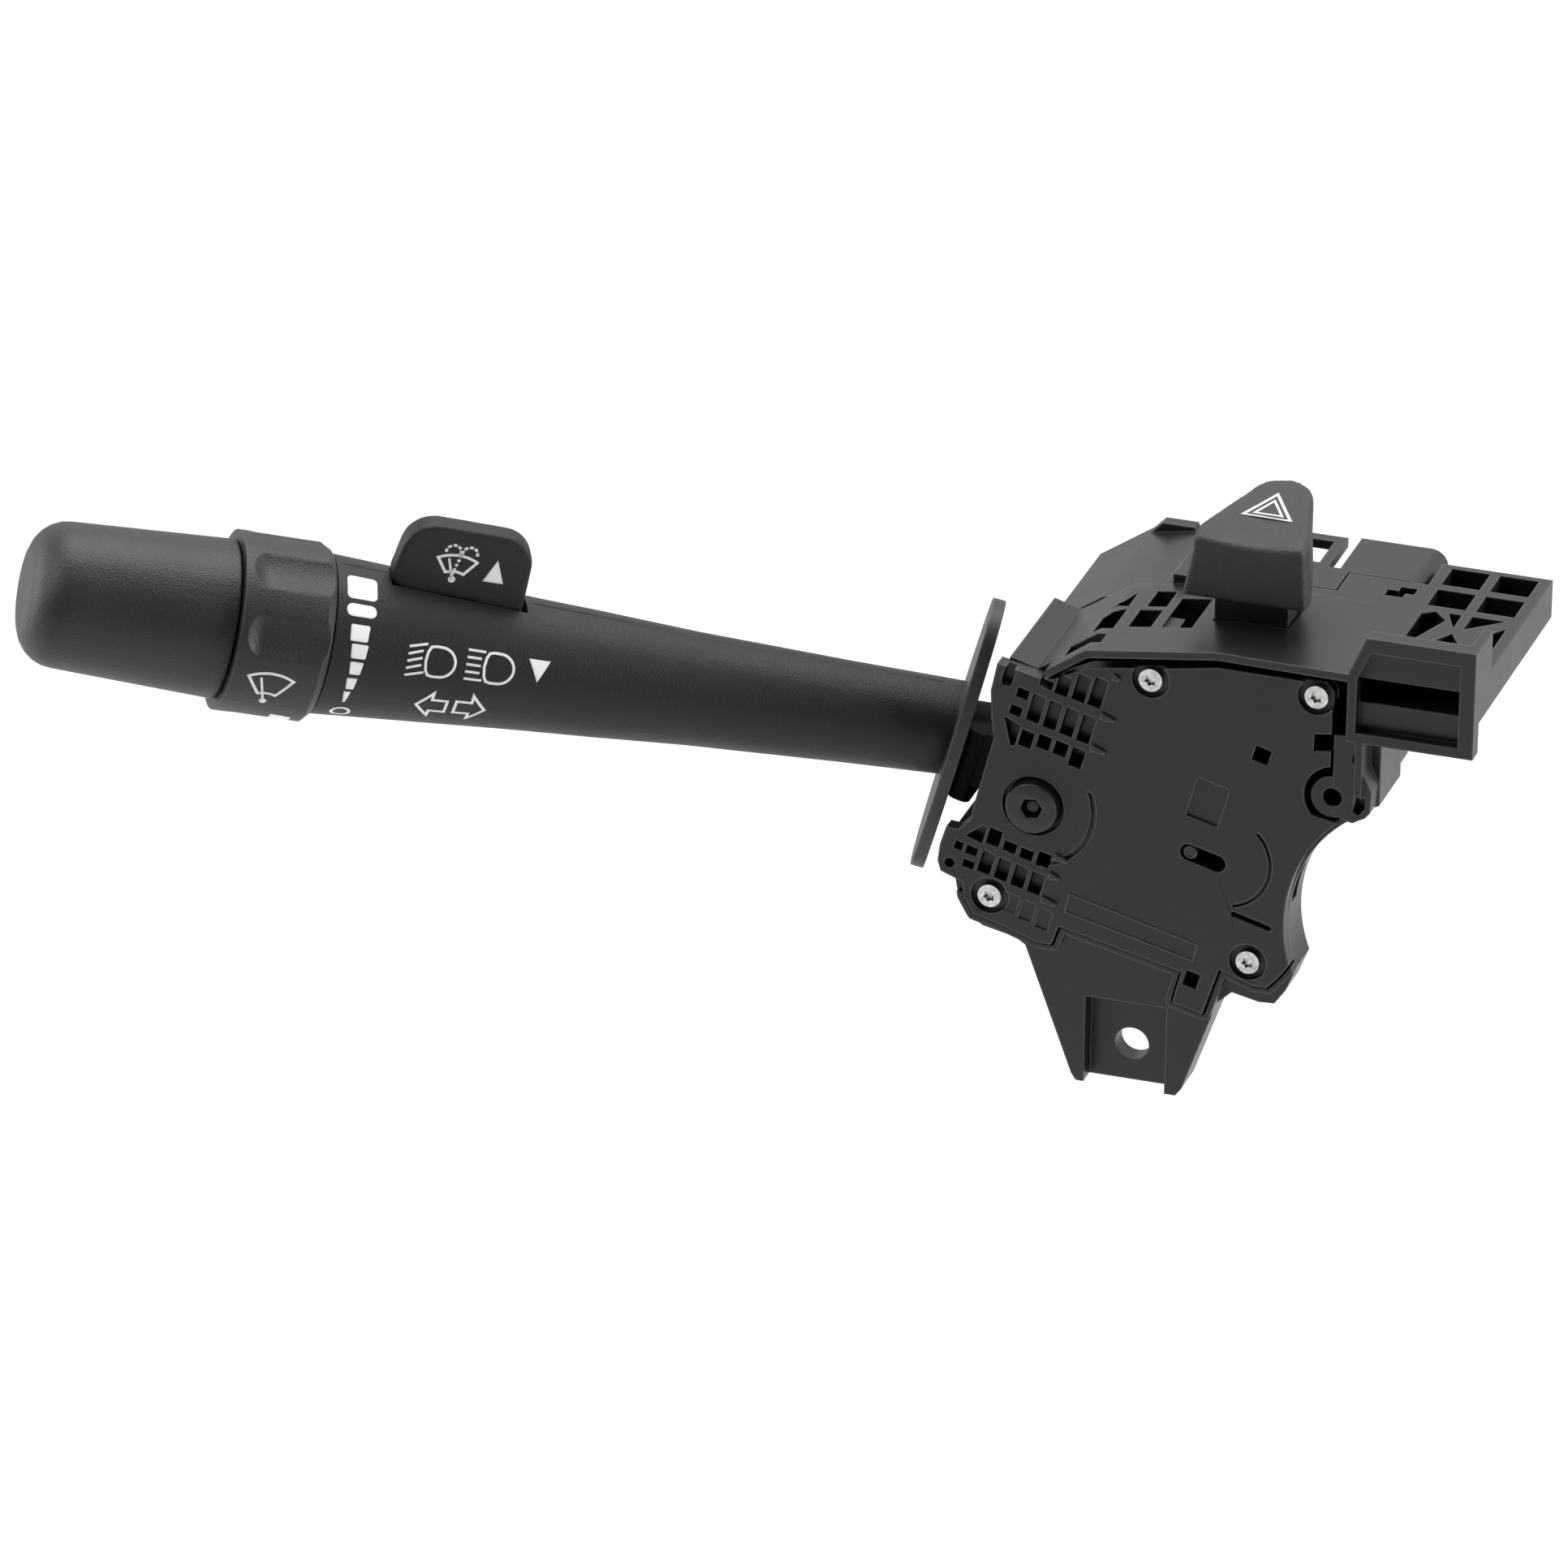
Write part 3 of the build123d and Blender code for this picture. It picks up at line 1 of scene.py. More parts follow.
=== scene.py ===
"""Studio scene of a steering-column stalk switch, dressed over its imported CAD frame.

Lengths written as millimetres are turned to metres where a mesh is made. The lever's own frame
is read from the joints, so every printed mark and rounded piece sits where the CAD puts it.
"""

import json
import logging
import math
from dataclasses import dataclass, field
from enum import Enum
from typing import NamedTuple

import bpy
from mathutils import Matrix, Vector


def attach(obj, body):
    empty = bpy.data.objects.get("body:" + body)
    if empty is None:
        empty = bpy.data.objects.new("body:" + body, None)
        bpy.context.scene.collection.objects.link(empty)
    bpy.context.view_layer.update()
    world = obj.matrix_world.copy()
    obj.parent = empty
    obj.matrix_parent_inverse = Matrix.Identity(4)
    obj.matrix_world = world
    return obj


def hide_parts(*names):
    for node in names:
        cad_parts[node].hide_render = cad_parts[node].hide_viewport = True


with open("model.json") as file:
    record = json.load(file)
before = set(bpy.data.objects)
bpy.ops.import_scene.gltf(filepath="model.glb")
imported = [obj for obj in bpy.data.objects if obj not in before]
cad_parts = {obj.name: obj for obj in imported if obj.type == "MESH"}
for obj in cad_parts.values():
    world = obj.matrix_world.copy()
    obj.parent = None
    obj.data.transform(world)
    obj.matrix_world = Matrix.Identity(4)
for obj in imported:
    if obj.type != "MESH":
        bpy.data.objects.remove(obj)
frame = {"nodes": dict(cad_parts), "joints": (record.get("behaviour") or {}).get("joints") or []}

LOG = logging.getLogger("stalk_switch")
MM = 0.001
IMAGE_SIDE = 1932
# Sockets of a Mix node that take its two colours, and the one that gives the result
MIX_A, MIX_B, MIX_OUT = 6, 7, 2
# Least share of a line's width that a mitred corner keeps, so that sharp tips stay short
MITRE_LIMIT = 0.35
Loop = list[tuple[float, float]]
Spot = tuple[float, float, float]


class Body(Enum):
    """Rigid bodies that the dressed pieces ride on."""

    HOUSING = "housing"
    TURN = "turn_body"
    LEVER = "lever_body"
    RING = "ring_body"
    PADDLE = "paddle_body"
    HAZARD = "hazard_body"
    PAWL = "pawl_body"


def srgb(code: str) -> tuple[float, float, float, float]:
    """Turns an sRGB hex value to a linear colour.

    Args:
        code: Six hex digits.

    Returns:
        Red, green, blue and an alpha of one.
    """
    channels = [int(code[i:i + 2], 16) / 255 for i in (0, 2, 4)]
    linear = [c / 12.92 if c <= 0.04045 else ((c + 0.055) / 1.055) ** 2.4 for c in channels]
    return (linear[0], linear[1], linear[2], 1.0)


def joint(name: str) -> dict:
    """The frame's entry for one joint."""
    return next(entry for entry in frame["joints"] if entry["name"] == name)


def add_node(tree: bpy.types.NodeTree, kind: str, settings: dict | None = None,
             values: dict | None = None, links: dict | None = None) -> bpy.types.Node:
    """Adds one shader node with its settings, socket values and incoming links.

    Args:
        tree: Node tree that gets the node.
        kind: Blender's type name of the node.
        settings: Attributes of the node itself.
        values: Values of input sockets, by name or number.
        links: Output sockets that feed the input sockets, by name or number.

    Returns:
        The new node.
    """
    node = tree.nodes.new(kind)
    for key, value in (settings or {}).items():
        setattr(node, key, value)
    for key, value in (values or {}).items():
        node.inputs[key].default_value = value
    for key, source in (links or {}).items():
        tree.links.new(source, node.inputs[key])
    return node


def fresh_material(name: str) -> tuple[bpy.types.Material, bpy.types.NodeTree]:
    """Makes an empty node material.

    Args:
        name: Its name.

    Returns:
        The material and its node tree.
    """
    material = bpy.data.materials.new(name)
    material.use_nodes = True
    material.node_tree.nodes.clear()
    return material, material.node_tree


@dataclass(frozen=True)
class MouldedPlastic:
    """An injection-moulded plastic: two close shades, a moulded grain, its gloss and a painted highlight that
    pales its convex rims.
    """

    name: str
    shade: str
    worn_shade: str
    roughness: float
    grain_mm: float
    grain_depth_mm: float
    roughness_spread: float = 0.06
    cloud_mm: float = 14.0
    specular: float = 0.5
    edge_mm: float = 0.5
    # Paler colour of the painted highlight on convex rims; the two thresholds of its mask follow
    rim_highlight_shade: str = "45443f"
    rim_highlight_start: float = 0.92
    rim_highlight_full: float = 0.55
    refraction: float = 1.5

    def colour(self, tree: bpy.types.NodeTree, cloud: bpy.types.NodeSocket) -> bpy.types.NodeSocket:
        """Mixes the two shades by the clouds and pales the rims with a painted highlight, where the moulding
        is thin.

        Args:
            tree: Node tree of the material.
            cloud: Socket of the clouded pattern.

        Returns:
            Socket of the mixed colour.
        """
        shades = add_node(tree, "ShaderNodeMix", {"data_type": "RGBA"},
                          {MIX_A: srgb(self.shade), MIX_B: srgb(self.worn_shade)}, {0: cloud})
        # Painted highlight: at convex rims, where the moulding is thin inside, the colour turns towards the
        # paler rim colour
        thin = add_node(tree, "ShaderNodeAmbientOcclusion",
                        {"samples": 8, "inside": True, "only_local": True},
                        {"Distance": self.edge_mm * MM})
        rim = add_node(tree, "ShaderNodeMapRange", values={
            "From Min": self.rim_highlight_start, "From Max": self.rim_highlight_full, "To Min": 0.0, "To Max": 1.0},
            links={"Value": thin.outputs["AO"]})
        highlighted_colour = add_node(tree, "ShaderNodeMix", {"data_type": "RGBA"}, {MIX_B: srgb(self.rim_highlight_shade)},
                        {0: rim.outputs["Result"], MIX_A: shades.outputs[MIX_OUT]})
        return highlighted_colour.outputs[MIX_OUT]

    def make(self) -> bpy.types.Material:
        """Builds the node material.

        Returns:
            The material.
        """
        material, tree = fresh_material(self.name)
        spot = add_node(tree, "ShaderNodeTexCoord").outputs["Object"]
        cloud = add_node(tree, "ShaderNodeTexNoise", values={
            "Scale": 1 / (self.cloud_mm * MM), "Detail": 3.0, "Roughness": 0.55},
            links={"Vector": spot})
        grain = add_node(tree, "ShaderNodeTexNoise", values={
            "Scale": 1 / (self.grain_mm * MM), "Detail": 2.0, "Roughness": 0.6},
            links={"Vector": spot})
        gloss = add_node(tree, "ShaderNodeMapRange", values={
            "To Min": self.roughness - self.roughness_spread,
            "To Max": self.roughness + self.roughness_spread}, links={"Value": cloud.outputs["Fac"]})
        edge = add_node(tree, "ShaderNodeBevel", {"samples": 6}, {"Radius": self.edge_mm * MM})
        bump = add_node(tree, "ShaderNodeBump", values={
            "Strength": 1.0, "Distance": self.grain_depth_mm * MM},
            links={"Height": grain.outputs["Fac"], "Normal": edge.outputs["Normal"]})
        shader = add_node(tree, "ShaderNodeBsdfPrincipled", values={
            "IOR": self.refraction, "Specular IOR Level": self.specular},
            links={"Base Color": self.colour(tree, cloud.outputs["Fac"]),
                   "Roughness": gloss.outputs["Result"], "Normal": bump.outputs["Normal"]})
        add_node(tree, "ShaderNodeOutputMaterial", links={"Surface": shader.outputs["BSDF"]})
        return material


@dataclass(frozen=True)
class WorkedMetal:
    """A plated, drawn or rolled metal with fine marks in its roughness."""

    name: str
    shade: str
    dull_shade: str
    roughness: float
    mark_mm: float
    mark_depth_mm: float
    glossier: float = 0.05
    duller: float = 0.1

    def make(self) -> bpy.types.Material:
        """Builds the node material.

        Returns:
            The material.
        """
        material, tree = fresh_material(self.name)
        place = add_node(tree, "ShaderNodeTexCoord")
        marks = add_node(tree, "ShaderNodeTexNoise", values={
            "Scale": 1 / (self.mark_mm * MM), "Detail": 4.0, "Roughness": 0.6},
            links={"Vector": place.outputs["Object"]})
        shades = add_node(tree, "ShaderNodeMix", {"data_type": "RGBA"},
                          {MIX_A: srgb(self.shade), MIX_B: srgb(self.dull_shade)},
                          {0: marks.outputs["Fac"]})
        gloss = add_node(tree, "ShaderNodeMapRange", values={
            "To Min": self.roughness - self.glossier, "To Max": self.roughness + self.duller},
            links={"Value": marks.outputs["Fac"]})
        bump = add_node(tree, "ShaderNodeBump", values={
            "Strength": 1.0, "Distance": self.mark_depth_mm * MM}, links={"Height": marks.outputs["Fac"]})
        shader = add_node(tree, "ShaderNodeBsdfPrincipled", values={"Metallic": 1.0},
                          links={"Base Color": shades.outputs[MIX_OUT],
                                 "Roughness": gloss.outputs["Result"],
                                 "Normal": bump.outputs["Normal"]})
        add_node(tree, "ShaderNodeOutputMaterial", links={"Surface": shader.outputs["BSDF"]})
        return material


class Finish(Enum):
    """Every finish of the switch."""

    # Polybutylene moulded against a fine spark-eroded tool, which gives a soft even grey-black
    LEVER = MouldedPlastic("grained_polybutylene", "11110f", "171716", 0.54, 0.42, 0.11, specular=0.4,
                           rim_highlight_shade="2c2b29")
    # Flange of the lever, scuffed paler where it rubs against the shroud
    SHIELD = MouldedPlastic("scuffed_polybutylene", "2a2928", "343331", 0.5, 0.4, 0.03, rim_highlight_shade="5c5a56")
    # The same plastic from a coarser tool, which gives the knob and the ring a paler sheen
    KNOB = MouldedPlastic("coarse_polybutylene", "1b1b1a", "232322", 0.5, 0.46, 0.13)
    # Glass-filled polyamide from a polished tool, which gives satin black with pale reflections
    HOUSING = MouldedPlastic("satin_polyamide", "100f0f", "171615", 0.38, 0.5, 0.01,
                             roughness_spread=0.05, cloud_mm=9.0)
    # Cover of the same polyamide, a little duller where it was rubbed
    COVER = MouldedPlastic("rubbed_polyamide", "0e0d0c", "151413", 0.42, 0.4, 0.014,
                           roughness_spread=0.08, cloud_mm=6.0, rim_highlight_shade="4f4e49")
    # Acrylonitrile butadiene styrene with a leathery grain, which gives a matte charcoal
    BUTTON = MouldedPlastic("leather_grain_abs", "272727", "303030", 0.6, 0.8, 0.2,
                            roughness_spread=0.04, edge_mm=1.2)
    # Acetal from a polished tool, which gives a smooth black bearing face
    PIVOT = MouldedPlastic("smooth_acetal", "161616", "1d1d1d", 0.34, 0.6, 0.006)
    # Greased acetal of the lever's root, which gives a dull black between flange and cover
    ROOT = MouldedPlastic("greased_acetal", "070707", "0b0b0a", 0.66, 0.6, 0.02, specular=0.22,
                          rim_highlight_shade="171716")
    # Unpigmented acetal of inner sliding pieces, which gives a milky white
    NATURAL = MouldedPlastic("natural_acetal", "d8d5c9", "e2dfd4", 0.4, 0.6, 0.006, rim_highlight_shade="e8e6de")
    # Painted shadow of the mould's parting line: a dark strip laid on the lever
    SEAM = MouldedPlastic("parting_shadow", "060606", "090909", 0.8, 0.5, 0.002, rim_highlight_shade="090909")
    # Pad-printed ink, which gives a flat cool white
    INK = MouldedPlastic("printed_ink", "e9eef6", "f3f6fb", 0.55, 0.2, 0.004, rim_highlight_shade="f3f6fb")
    # Epoxy glass laminate, which gives a dull green
    LAMINATE = MouldedPlastic("epoxy_laminate", "16231a", "1c2b20", 0.45, 0.8, 0.01)
    # Bright zinc-plated steel, which gives a blotchy silver
    ZINC = WorkedMetal("zinc_plated_steel", "f6f8f6", "767c77", 0.2, 1.1, 0.14)
    # Drawn spring wire, which gives a darker grey
    WIRE = WorkedMetal("drawn_spring_wire", "8d8f93", "6f7175", 0.3, 0.3, 0.004)
    # Rolled brass of the contacts, which gives a dull gold
    BRASS = WorkedMetal("rolled_brass", "c9a35a", "b08a44", 0.28, 0.4, 0.004)


@dataclass
class Workshop:
    """Makes the materials once and holds the small steps that every piece uses."""

    weld_mm: float = 0.002
    flat_deg: float = 0.6
    edge_flats: int = 2
    edge_deg: float = 34.0
    evening: float = 0.5
    materials: dict[Finish, bpy.types.Material] = field(init=False)

    def __post_init__(self) -> None:
        """Builds every finish."""
        self.materials = {finish: finish.value.make() for finish in Finish}

    def activate(self, piece: bpy.types.Object) -> None:
        """Leaves only one piece selected and active.

        Args:
            piece: The piece.
        """
        bpy.ops.object.select_all(action="DESELECT")
        piece.select_set(True)
        bpy.context.view_layer.objects.active = piece

    def dress(self, piece: bpy.types.Object, finish: Finish) -> None:
        """Gives a piece one finish all over.

        Args:
            piece: The piece.
            finish: Its finish.
        """
        piece.data.materials.clear()
        piece.data.materials.append(self.materials[finish])
        for face in piece.data.polygons:
            face.material_index = 0

    def paint_node(self, node: str, finish: Finish) -> None:
        """Gives a shown CAD node a finish through its material slots.

        Args:
            node: The CAD node.
            finish: Its finish.
        """
        for slot in frame["nodes"][node].material_slots:
            slot.link = "OBJECT"
            slot.material = self.materials[finish]

    def bake(self, piece: bpy.types.Object, kind: str, **settings: object) -> None:
        """Adds one modifier to a piece and applies it.

        Args:
            piece: The piece.
            kind: Blender's type name of the modifier.
            **settings: Attributes of the modifier.
        """
        self.activate(piece)
        modifier = piece.modifiers.new(kind.lower(), kind)
        for key, value in settings.items():
            setattr(modifier, key, value)
        bpy.ops.object.modifier_apply(modifier=modifier.name)

    def copied(self, node: str) -> bpy.types.Object:
        """Copies a CAD node and welds the loose faces of the copy.

        Args:
            node: The CAD node.

        Returns:
            The copy, in edit mode with all of it selected.
        """
        piece = bpy.data.objects.new(node + "_moulding", frame["nodes"][node].data.copy())
        bpy.context.scene.collection.objects.link(piece)
        self.activate(piece)
        bpy.ops.object.mode_set(mode="EDIT")
        bpy.ops.mesh.select_all(action="SELECT")
        bpy.ops.mesh.remove_doubles(threshold=self.weld_mm * MM)
        bpy.ops.mesh.customdata_custom_splitnormals_clear()
        return piece

    def hand_over(self, piece: bpy.types.Object, node: str, body: Body, finish: Finish) -> None:
        """Dresses a finished copy and puts it in its node's place.

        Args:
            piece: The copy.
            node: CAD node that it stands for.
            body: Body that it rides on.
            finish: Its finish.
        """
        self.dress(piece, finish)
        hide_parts(node)
        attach(piece, body.value)
        LOG.info("piece %s", piece.name)

    def softened(self, node: str, body: Body, finish: Finish, edge_mm: float) -> bpy.types.Object:
        """Copies a CAD node and rounds its edges as a moulding's are.

        Args:
            node: CAD node that the piece stands for.
            body: Body that it rides on.
            finish: Its finish.
            edge_mm: Width of the rounded edges.

        Returns:
            The rounded piece.
        """
        piece = self.copied(node)
        bpy.ops.mesh.dissolve_limited(angle_limit=math.radians(self.flat_deg))
        bpy.ops.mesh.vert_connect_concave()
        bpy.ops.object.mode_set(mode="OBJECT")
        self.bake(piece, "BEVEL", width=edge_mm * MM, segments=self.edge_flats, limit_method="ANGLE",
                  angle_limit=math.radians(self.edge_deg), use_clamp_overlap=True)
        self.activate(piece)
        bpy.ops.object.shade_smooth_by_angle(angle=math.radians(self.edge_deg))
        self.bake(piece, "WEIGHTED_NORMAL", keep_sharp=True)
        self.hand_over(piece, node, body, finish)
        return piece

    def melted(self, node: str, body: Body, finish: Finish, grid_mm: float,
               passes: int) -> bpy.types.Object:
        """Copies a CAD node that the hand touches and gives it the full soft rounding of its mould.

        Args:
            node: CAD node that the piece stands for.
            body: Body that it rides on.
            finish: Its finish.
            grid_mm: Width of the faces that the form is divided into.
            passes: How often the faces are evened out, which sets how round the edges are.

        Returns:
            The rounded piece.
        """
        piece = self.copied(node)
        bpy.ops.object.mode_set(mode="OBJECT")
        self.bake(piece, "REMESH", mode="VOXEL", voxel_size=grid_mm * MM, use_smooth_shade=True)
        self.bake(piece, "SMOOTH", factor=self.evening, iterations=passes)
        self.hand_over(piece, node, body, finish)
        return piece


@dataclass
class LeverFrame:
    """Axis, up and driver side of the lever, read from the joints."""

    ring_middle_mm: float = 141.6
    profile: tuple[tuple[float, float], ...] = (
        (-6.0, 9.3), (24.0, 10.1), (56.0, 11.3), (76.0, 12.5), (91.5, 13.3), (132.0, 15.9))
    ring_radius_mm: float = 17.9
    line: Vector = field(init=False)
    up: Vector = field(init=False)
    front: Vector = field(init=False)
    start: Vector = field(init=False)

    def __post_init__(self) -> None:
        """Works out the directions from the ring's and the pull's hinges."""
        self.line = Vector(joint("wiper_speed")["axis"]).normalized()
        across = Vector(joint("high_beam_pull")["axis"]).normalized()
        self.up = (across - self.line * across.dot(self.line)).normalized()
        self.front = self.up.cross(self.line)
        middle = Vector(joint("wiper_speed")["pos_m"])
        self.start = middle - self.line * self.ring_middle_mm * MM

    def radius(self, along: float) -> float:
        """Outer radius of the lever or the ring.

        Args:
            along: Millimetres along the axis.

        Returns:
            The radius in millimetres.
        """
        if along > self.profile[-1][0]:
            return self.ring_radius_mm
        for (low, small), (high, large) in zip(self.profile, self.profile[1:]):
            if along <= high:
                return small + (large - small) * (along - low) / (high - low)
        return self.profile[-1][1]

    def point(self, along: float, up: float = 0.0, front: float = 0.0) -> Vector:
        """A point of the lever's frame in metres, given in millimetres."""
        return self.start + (self.line * along + self.up * up + self.front * front) * MM

    def skin(self, along: float, turn: float, lift: float) -> Vector:
        """A point on the lever's or the ring's surface.

        Args:
            along: Millimetres along the axis.
            turn: Radians from straight up towards the driver.
            lift: Millimetres above the surface.

        Returns:
            The point in metres.
        """
        reach = self.radius(along) + lift
        return self.point(along, reach * math.cos(turn), reach * math.sin(turn))


def rounded_box(width: float, height: float, corner: float, foot: float, steps: int = 4) -> Loop:
    """Outline of a box with rounded corners that narrows towards its foot.

    Args:
        width: Width at its top.
        height: Its height.
        corner: Radius of its corners.
        foot: Width at its foot.
        steps: Steps round each corner.

    Returns:
        The loop.
    """
    loop: Loop = []
    for sign_x, sign_y, start in ((1, 1, 0), (-1, 1, 90), (-1, -1, 180), (1, -1, 270)):
        half = (width if sign_y > 0 else foot) / 2
        for step in range(steps + 1):
            angle = math.radians(start + 90 * step / steps)
            loop.append((sign_x * (half - corner) + corner * math.cos(angle),
                         sign_y * (height / 2 - corner) + corner * math.sin(angle)))
    return loop


def round_loop(x: float, y: float, radius: float, steps: int = 24, start_deg: float = 0.0) -> Loop:
    """Outline of a circle, or of a regular polygon where the steps are few.

    Args:
        x: Place of its middle, to the right.
        y: Place of its middle, upwards.
        radius: Its radius.
        steps: Steps all round.
        start_deg: Turn of its first point.

    Returns:
        The loop.
    """
    turns = [math.radians(start_deg) + math.tau * i / steps for i in range(steps)]
    return [(x + radius * math.cos(turn), y + radius * math.sin(turn)) for turn in turns]


def ribbon(points: Loop, width: float, closed: bool = False) -> list[Loop]:
    """Outlines of a line of even width, with mitred corners.

    Args:
        points: Middle line.
        width: Width of the line.
        closed: Whether the last point joins the first.

    Returns:
        One loop for an open line, the outer and inner loops for a closed one.
    """
    sides: tuple[Loop, Loop] = ([], [])
    count = len(points)
    for i, point in enumerate(points):
        before = points[i - 1] if closed or i else None
        after = points[(i + 1) % count] if closed or i < count - 1 else None
        ways = [Vector(b) - Vector(a) for a, b in ((before, point), (point, after)) if a and b]
        normals = [Vector((-way.y, way.x)).normalized() for way in ways]
        middle = sum(normals, Vector((0, 0))).normalized()
        reach = width / 2 / max(middle.dot(normals[0]), MITRE_LIMIT)
        for side, sign in zip(sides, (1, -1)):
            side.append((point[0] + middle.x * reach * sign, point[1] + middle.y * reach * sign))
    if closed:
        return [sides[0], sides[1]]
    return [sides[0] + sides[1][::-1]]


def arc_points(x: float, y: float, radius: float, start: float, end: float, steps: int) -> Loop:
    """Points of an arc between two angles in degrees."""
    angles = [math.radians(start + (end - start) * i / steps) for i in range(steps + 1)]
    return [(x + radius * math.cos(a), y + radius * math.sin(a)) for a in angles]


@dataclass
class Mark:
    """A printed symbol: groups of loops in millimetres, x to the right and y up as it is read."""

    name: str
    groups: list[list[Loop]]

    def filled(self, number: int) -> bpy.types.Object:
        """Fills one group of loops as a flat curve.

        Args:
            number: Which group it is.

        Returns:
            The curve's object.
        """
        curve = bpy.data.curves.new(f"{self.name}_{number}", "CURVE")
        curve.dimensions = "2D"
        curve.fill_mode = "BOTH"
        for loop in self.groups[number]:
            spline = curve.splines.new("POLY")
            spline.points.add(len(loop) - 1)
            for knot, (x, y) in zip(spline.points, loop):
                knot.co = (x * MM, y * MM, 0.0, 1.0)
            spline.use_cyclic_u = True
        part = bpy.data.objects.new(f"{self.name}_{number}", curve)
        bpy.context.scene.collection.objects.link(part)
        return part

    def flat(self, shop: Workshop, slice_mm: float) -> bpy.types.Object:
        """Makes one flat mesh of the groups and cuts it in slices that can bend.

        Args:
            shop: Workshop that selects the parts.
            slice_mm: Height of a slice.

        Returns:
            The flat mesh.
        """
        parts = [self.filled(number) for number in range(len(self.groups))]
        shop.activate(parts[0])
        for part in parts:
            part.select_set(True)
        bpy.ops.object.convert(target="MESH")
        if len(parts) > 1:
            bpy.ops.object.join()
        piece = bpy.context.view_layer.objects.active
        piece.name = self.name
        heights = [vertex.co.y for vertex in piece.data.vertices]
        level = min(heights) + slice_mm * MM
        bpy.ops.object.mode_set(mode="EDIT")
        while level < max(heights):
            bpy.ops.mesh.select_all(action="SELECT")
            bpy.ops.mesh.bisect(plane_co=(0, level, 0), plane_no=(0, 1, 0))
            level += slice_mm * MM
        bpy.ops.object.mode_set(mode="OBJECT")
        return piece


@dataclass
class Printer:
    """Puts printed marks and low mouldings on the pieces that carry them."""

    shop: Workshop
    lever: LeverFrame
    ink_lift_mm: float = 0.02
    ink_film_mm: float = 0.05
    reach_mm: float = 4.0
    slice_mm: float = 0.45
    uncut_mm: float = 50.0
    rim_flats: int = 3
    rim_edge_deg: float = 50.0
    rim_smooth_deg: float = 40.0

    def finish_mark(self, piece: bpy.types.Object, body: Body, finish: Finish,
                    film_mm: float | None, rim_mm: float | None = None) -> None:
        """Gives a flat form its thickness, its rounded rim where asked, and its finish.

        Args:
            piece: The flat form in its place.
            body: Body that it rides on.
            finish: Its finish.
            film_mm: Its thickness, or none for a film of ink.
            rim_mm: Width of its rounded rim, if it has one.
        """
        piece.data.update()
        self.shop.bake(piece, "SOLIDIFY", thickness=(film_mm or self.ink_film_mm) * MM, offset=1.0)
        if rim_mm:
            self.shop.bake(piece, "BEVEL", width=rim_mm * MM, segments=self.rim_flats,
                           limit_method="ANGLE", angle_limit=math.radians(self.rim_edge_deg))
            self.shop.activate(piece)
            bpy.ops.object.shade_smooth_by_angle(angle=math.radians(self.rim_smooth_deg))
        self.shop.dress(piece, finish)
        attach(piece, body.value)
        LOG.info("mark %s", piece.name)

    def wrap(self, mark: Mark, along: float, turn_deg: float, body: Body,
             finish: Finish = Finish.INK, film_mm: float | None = None) -> None:
        """Bends a mark round the lever or the ring.

        Args:
            mark: The symbol.
            along: Place of its middle along the axis, in millimetres.
            turn_deg: Turn of its middle from straight up towards the driver.
            body: Body that it rides on.
            finish: Its finish.
            film_mm: Its thickness.
        """
        piece = mark.flat(self.shop, self.slice_mm)
        reach = self.lever.radius(along)
        for vertex in piece.data.vertices:
            turn = math.radians(turn_deg) - vertex.co.y / MM / reach
            vertex.co = self.lever.skin(along - vertex.co.x / MM, turn, self.ink_lift_mm)
        self.finish_mark(piece, body, finish, film_mm)

    def lay(self, mark: Mark, origin: Vector, right: Vector, up: Vector, body: Body,
            finish: Finish = Finish.INK, film_mm: float | None = None,
            ground: bpy.types.Object | None = None, rim_mm: float | None = None) -> None:
        """Lays a mark on a face.

        Args:
            mark: The symbol.
            origin: Its middle, in metres.
            right: Direction of its own right.
            up: Direction of its own up.
            body: Body that it rides on.
            finish: Its finish.
            film_mm: Its thickness.
            ground: Dressed piece with a hollow or crowned face that the mark follows, if any.
            rim_mm: Width of its rounded rim, if it has one.
        """
        piece = mark.flat(self.shop, self.slice_mm if ground else self.uncut_mm)
        out = right.cross(up).normalized()
        for vertex in piece.data.vertices:
            spot = origin + right * vertex.co.x + up * vertex.co.y
            if ground:
                hit, place, _, _ = ground.ray_cast(spot + out * self.reach_mm * MM, -out)
                spot = place if hit else spot
            vertex.co = spot + out * self.ink_lift_mm * MM
        self.finish_mark(piece, body, finish, film_mm, rim_mm)


class DelayBlock(NamedTuple):
    """One block of the wiper delay scale: its turn in degrees, the rest in millimetres."""

    turn_deg: float
    height: float
    width: float
    corner: float
    foot: float
    along: float


